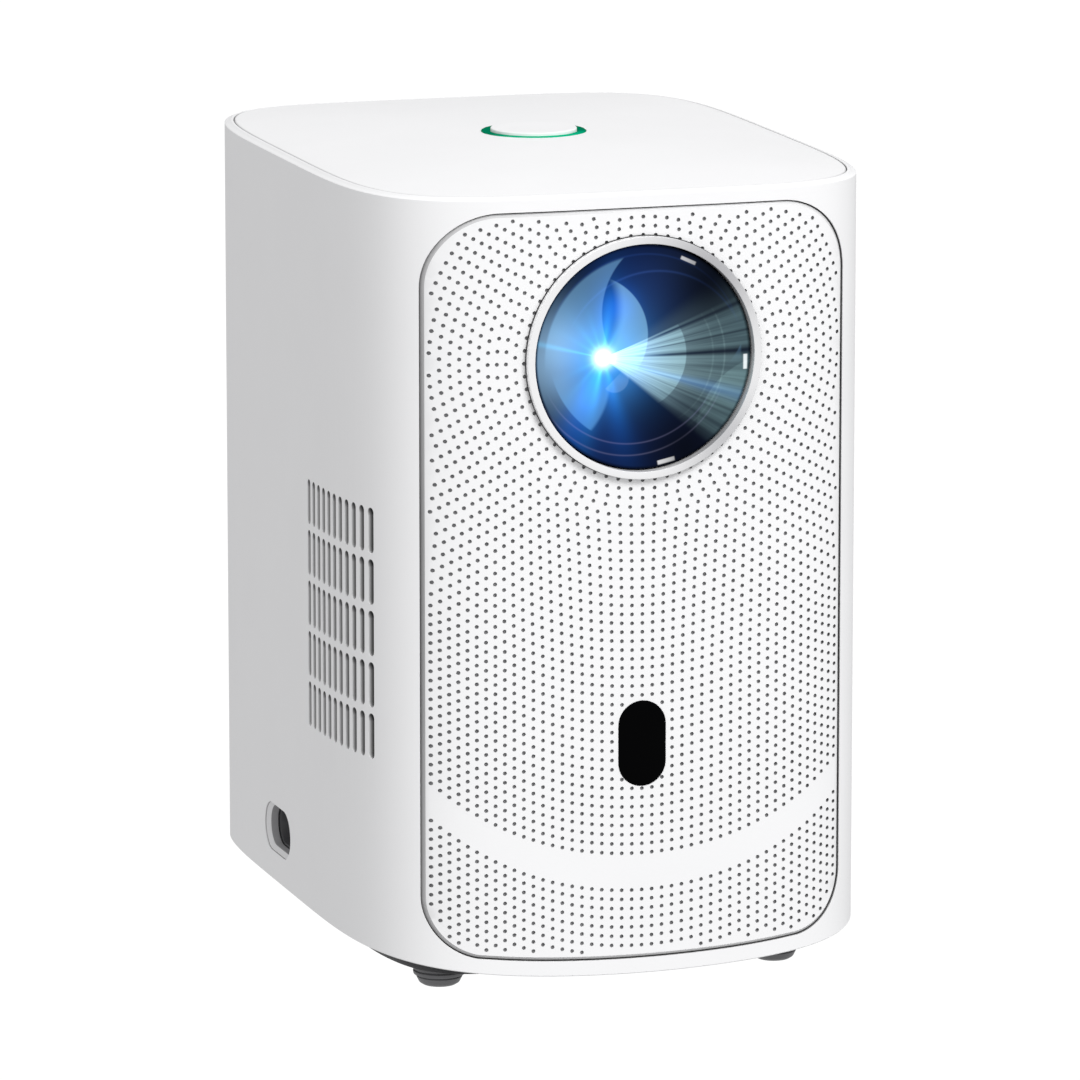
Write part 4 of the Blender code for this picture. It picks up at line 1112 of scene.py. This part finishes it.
def make_materials():
    """Materials by the record's slot names, then those of pieces that have more than one."""
    return {
        "white_plastic": shell_plastic("shell_white"),
        "grey_plastic": moulded("inner_grey", (0.05, 0.05, 0.055), 0.55),
        "black_plastic": moulded("black_plastic", (0.010, 0.010, 0.012), 0.5, 1100.0, 0.12, level=0.12),
        "window_plastic": moulded("window_black", (0.0006, 0.0006, 0.0008), 0.12, 300.0, 0.01, level=0.03),
        "light_ring": light_material("status_green"),
        "foot_rubber": moulded("foot_rubber", (0.15, 0.15, 0.155), 0.4, 1300.0, 0.25, 0.06),
        "bezel_metal": bezel_material("bezel_metal"),
        "steel": brushed("steel", (0.55, 0.55, 0.56), 0.32, (1, 1, 12)),
        "brass": brushed("brass", (0.72, 0.52, 0.22), 0.30, (12, 1, 1)),
        "aluminium": brushed("aluminium", (0.70, 0.71, 0.72), 0.36, (1, 12, 1)),
        "lens_glass": glass("inner_glass", (0.75, 0.82, 0.95), (0.85, 0.9, 1.0)),
        "mirror": moulded("mirror", (0.90, 0.91, 0.92), 0.06, 300.0, 0.0, 0.01, metal=1.0),
        "circuit_board": circuit("circuit_board"),
        "speaker_paper": moulded("speaker_paper", (0.05, 0.05, 0.055), 0.85, 700.0, 0.4, 0.15),
        "gear_plastic": moulded("gear_plastic", (0.75, 0.73, 0.66), 0.45),
        "cloth": moulded("acoustic_cloth", (0.34, 0.34, 0.35), 0.9, 2600.0, 0.5, 0.15),
        "inlet": moulded("inlet_grey", (0.46, 0.46, 0.47), 0.45),
        "rim": moulded("inlet_rim", (0.84, 0.84, 0.845), 0.45),
        # Near black: painted shade in the inlet's groove and in the gap behind the lens ring's flange
        "groove": moulded("groove_shade", (0.01, 0.01, 0.012), 0.6),
        "well": moulded("inlet_well", (0.075, 0.075, 0.08), 0.4),
        "lens": lens_material("lens_coated_painted_light"),
    }


def light_material(name):
    """Clear green plastic lit from below, brighter toward the front, with an uneven glow."""
    made, tree, shader = new_material(name, (0.0, 0.02, 0.01), 0.6, Emission_Strength=1.0,
                                      Specular_IOR_Level=0.05, IOR=1.02)
    fac = noise(tree, coordinates(tree), 160.0, 2.0)
    value = object_axes(tree)[1] * (-1 / (LIGHT_R1 * MM)) + Field(tree, fac) * 0.06
    glow = ramp(tree, value, [(0.3, (0.0, 0.17, 0.08)), (0.95, (0.0, 0.52, 0.27))])
    set_inputs(shader, Emission_Color=glow)
    set_roughness(tree, shader, fac, 0.5, 0.6)
    return made


def bezel_material(name):
    """Turned aluminium: fine circular lines about the lens axis, with painted darker reflections at two
    places on the right.
    """
    made, tree, shader = new_material(name, (0.90, 0.90, 0.91), 0.3, 0.3, Anisotropic=0.6)
    x, z = front_view(tree)
    radius = (x * x + z * z).op("SQRT")
    turned = add_node(tree, "CombineXYZ", X=radius * 9.0).outputs["Vector"]
    grain = Field(tree, noise(tree, turned, 6.0, 4.0))
    add_bump(tree, shader, (radius * 42.0).op("SINE") * 0.3 + grain, 0.05, 0.00005)
    angle = z.op("ARCTAN2", x) * (180 / math.pi)
    # Painted reflection: darker sectors of the turned metal, set by the angle about the lens axis
    painted_dark_reflection = ((angle - 50) / 34).bell() * 0.34 + ((angle + 46) / 24).bell() * 0.26 + (grain - 0.5) * 0.1
    tangent = add_node(tree, "Tangent")
    tangent.direction_type = "RADIAL"
    tangent.axis = "Y"
    set_inputs(shader, Tangent=tangent.outputs["Tangent"],
               Base_Color=ramp(tree, painted_dark_reflection, [(0.0, (0.93, 0.93, 0.935)), (0.5, (0.30, 0.30, 0.32))]))
    set_roughness(tree, shader, grain, 0.18, 0.28)
    return made


def finish_cad_nodes(mats):
    """Every CAD node still shown takes the procedural material of its own slot."""
    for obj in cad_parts.values():
        for index, mat in enumerate(obj.data.materials):
            slot = mat.name.split(".")[0] if mat else ""
            obj.data.materials[index] = mats.get(slot, mats["black_plastic"])
        if not obj.data.materials:
            obj.data.materials.append(mats["black_plastic"])


def make_stage():
    """A white floor and a white surround, which light nothing themselves."""
    made = bpy.data.materials.new("studio_white")
    made.use_nodes = True
    tree = made.node_tree
    tree.nodes.clear()
    glow = add_node(tree, "Emission", Strength=1.05)
    add_node(tree, "OutputMaterial", Surface=glow.outputs["Emission"])
    mesh = bmesh.new()
    add_lathe(mesh, [(0, -2.0), (14000, -2.0), (14000, -0.05), (0, -0.05)], "Z", (0, 0, 0), 96)
    floor = to_object(mesh, "floor", made)
    mesh = bmesh.new()
    bmesh.ops.create_uvsphere(mesh, u_segments=64, v_segments=32, radius=13000.0)
    for obj in (floor, to_object(mesh, "surround", made)):
        obj.visible_diffuse = obj.visible_glossy = obj.visible_transmission = obj.visible_shadow = False


def make_light(name, energy, place_at, aim, size):
    data = bpy.data.lights.new(name, "AREA")
    data.energy = energy
    data.size = size
    made = add_object(name, data)
    made.location = place_at
    made.rotation_euler = (Vector(aim) - Vector(place_at)).to_track_quat("-Z", "Y").to_euler()
    made.visible_camera = made.visible_glossy = False


def make_light_and_camera():
    world = bpy.data.worlds.new("studio")
    world.use_nodes = True
    set_inputs(world.node_tree.nodes["Background"], Color=(0.62, 0.62, 0.625, 1), Strength=1.0)
    bpy.context.scene.world = world
    for light in AREA_LIGHTS:
        make_light(*light)
    camera = bpy.data.cameras.new("camera")
    camera.lens = CAMERA_LENS
    camera.sensor_width = 36.0
    camera.clip_end = 60.0
    made = add_object("camera", camera)
    made.location = CAMERA_AT
    made.rotation_euler = [math.radians(angle) for angle in CAMERA_TURN]
    bpy.context.scene.camera = made
    bpy.context.scene.view_settings.view_transform = "Standard"


def main():
    """Each group of outer parts comes as rows of (piece, body, material slot, CAD node it replaces)."""
    mats = make_materials()
    finish_cad_nodes(mats)
    for make in (make_shell, make_lid, make_button, make_front, make_base, make_inlet, make_rear, make_lens):
        for piece, body, slot, replaced in make(mats):
            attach(piece, body)
            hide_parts(replaced)
    make_stage()
    make_light_and_camera()


main()
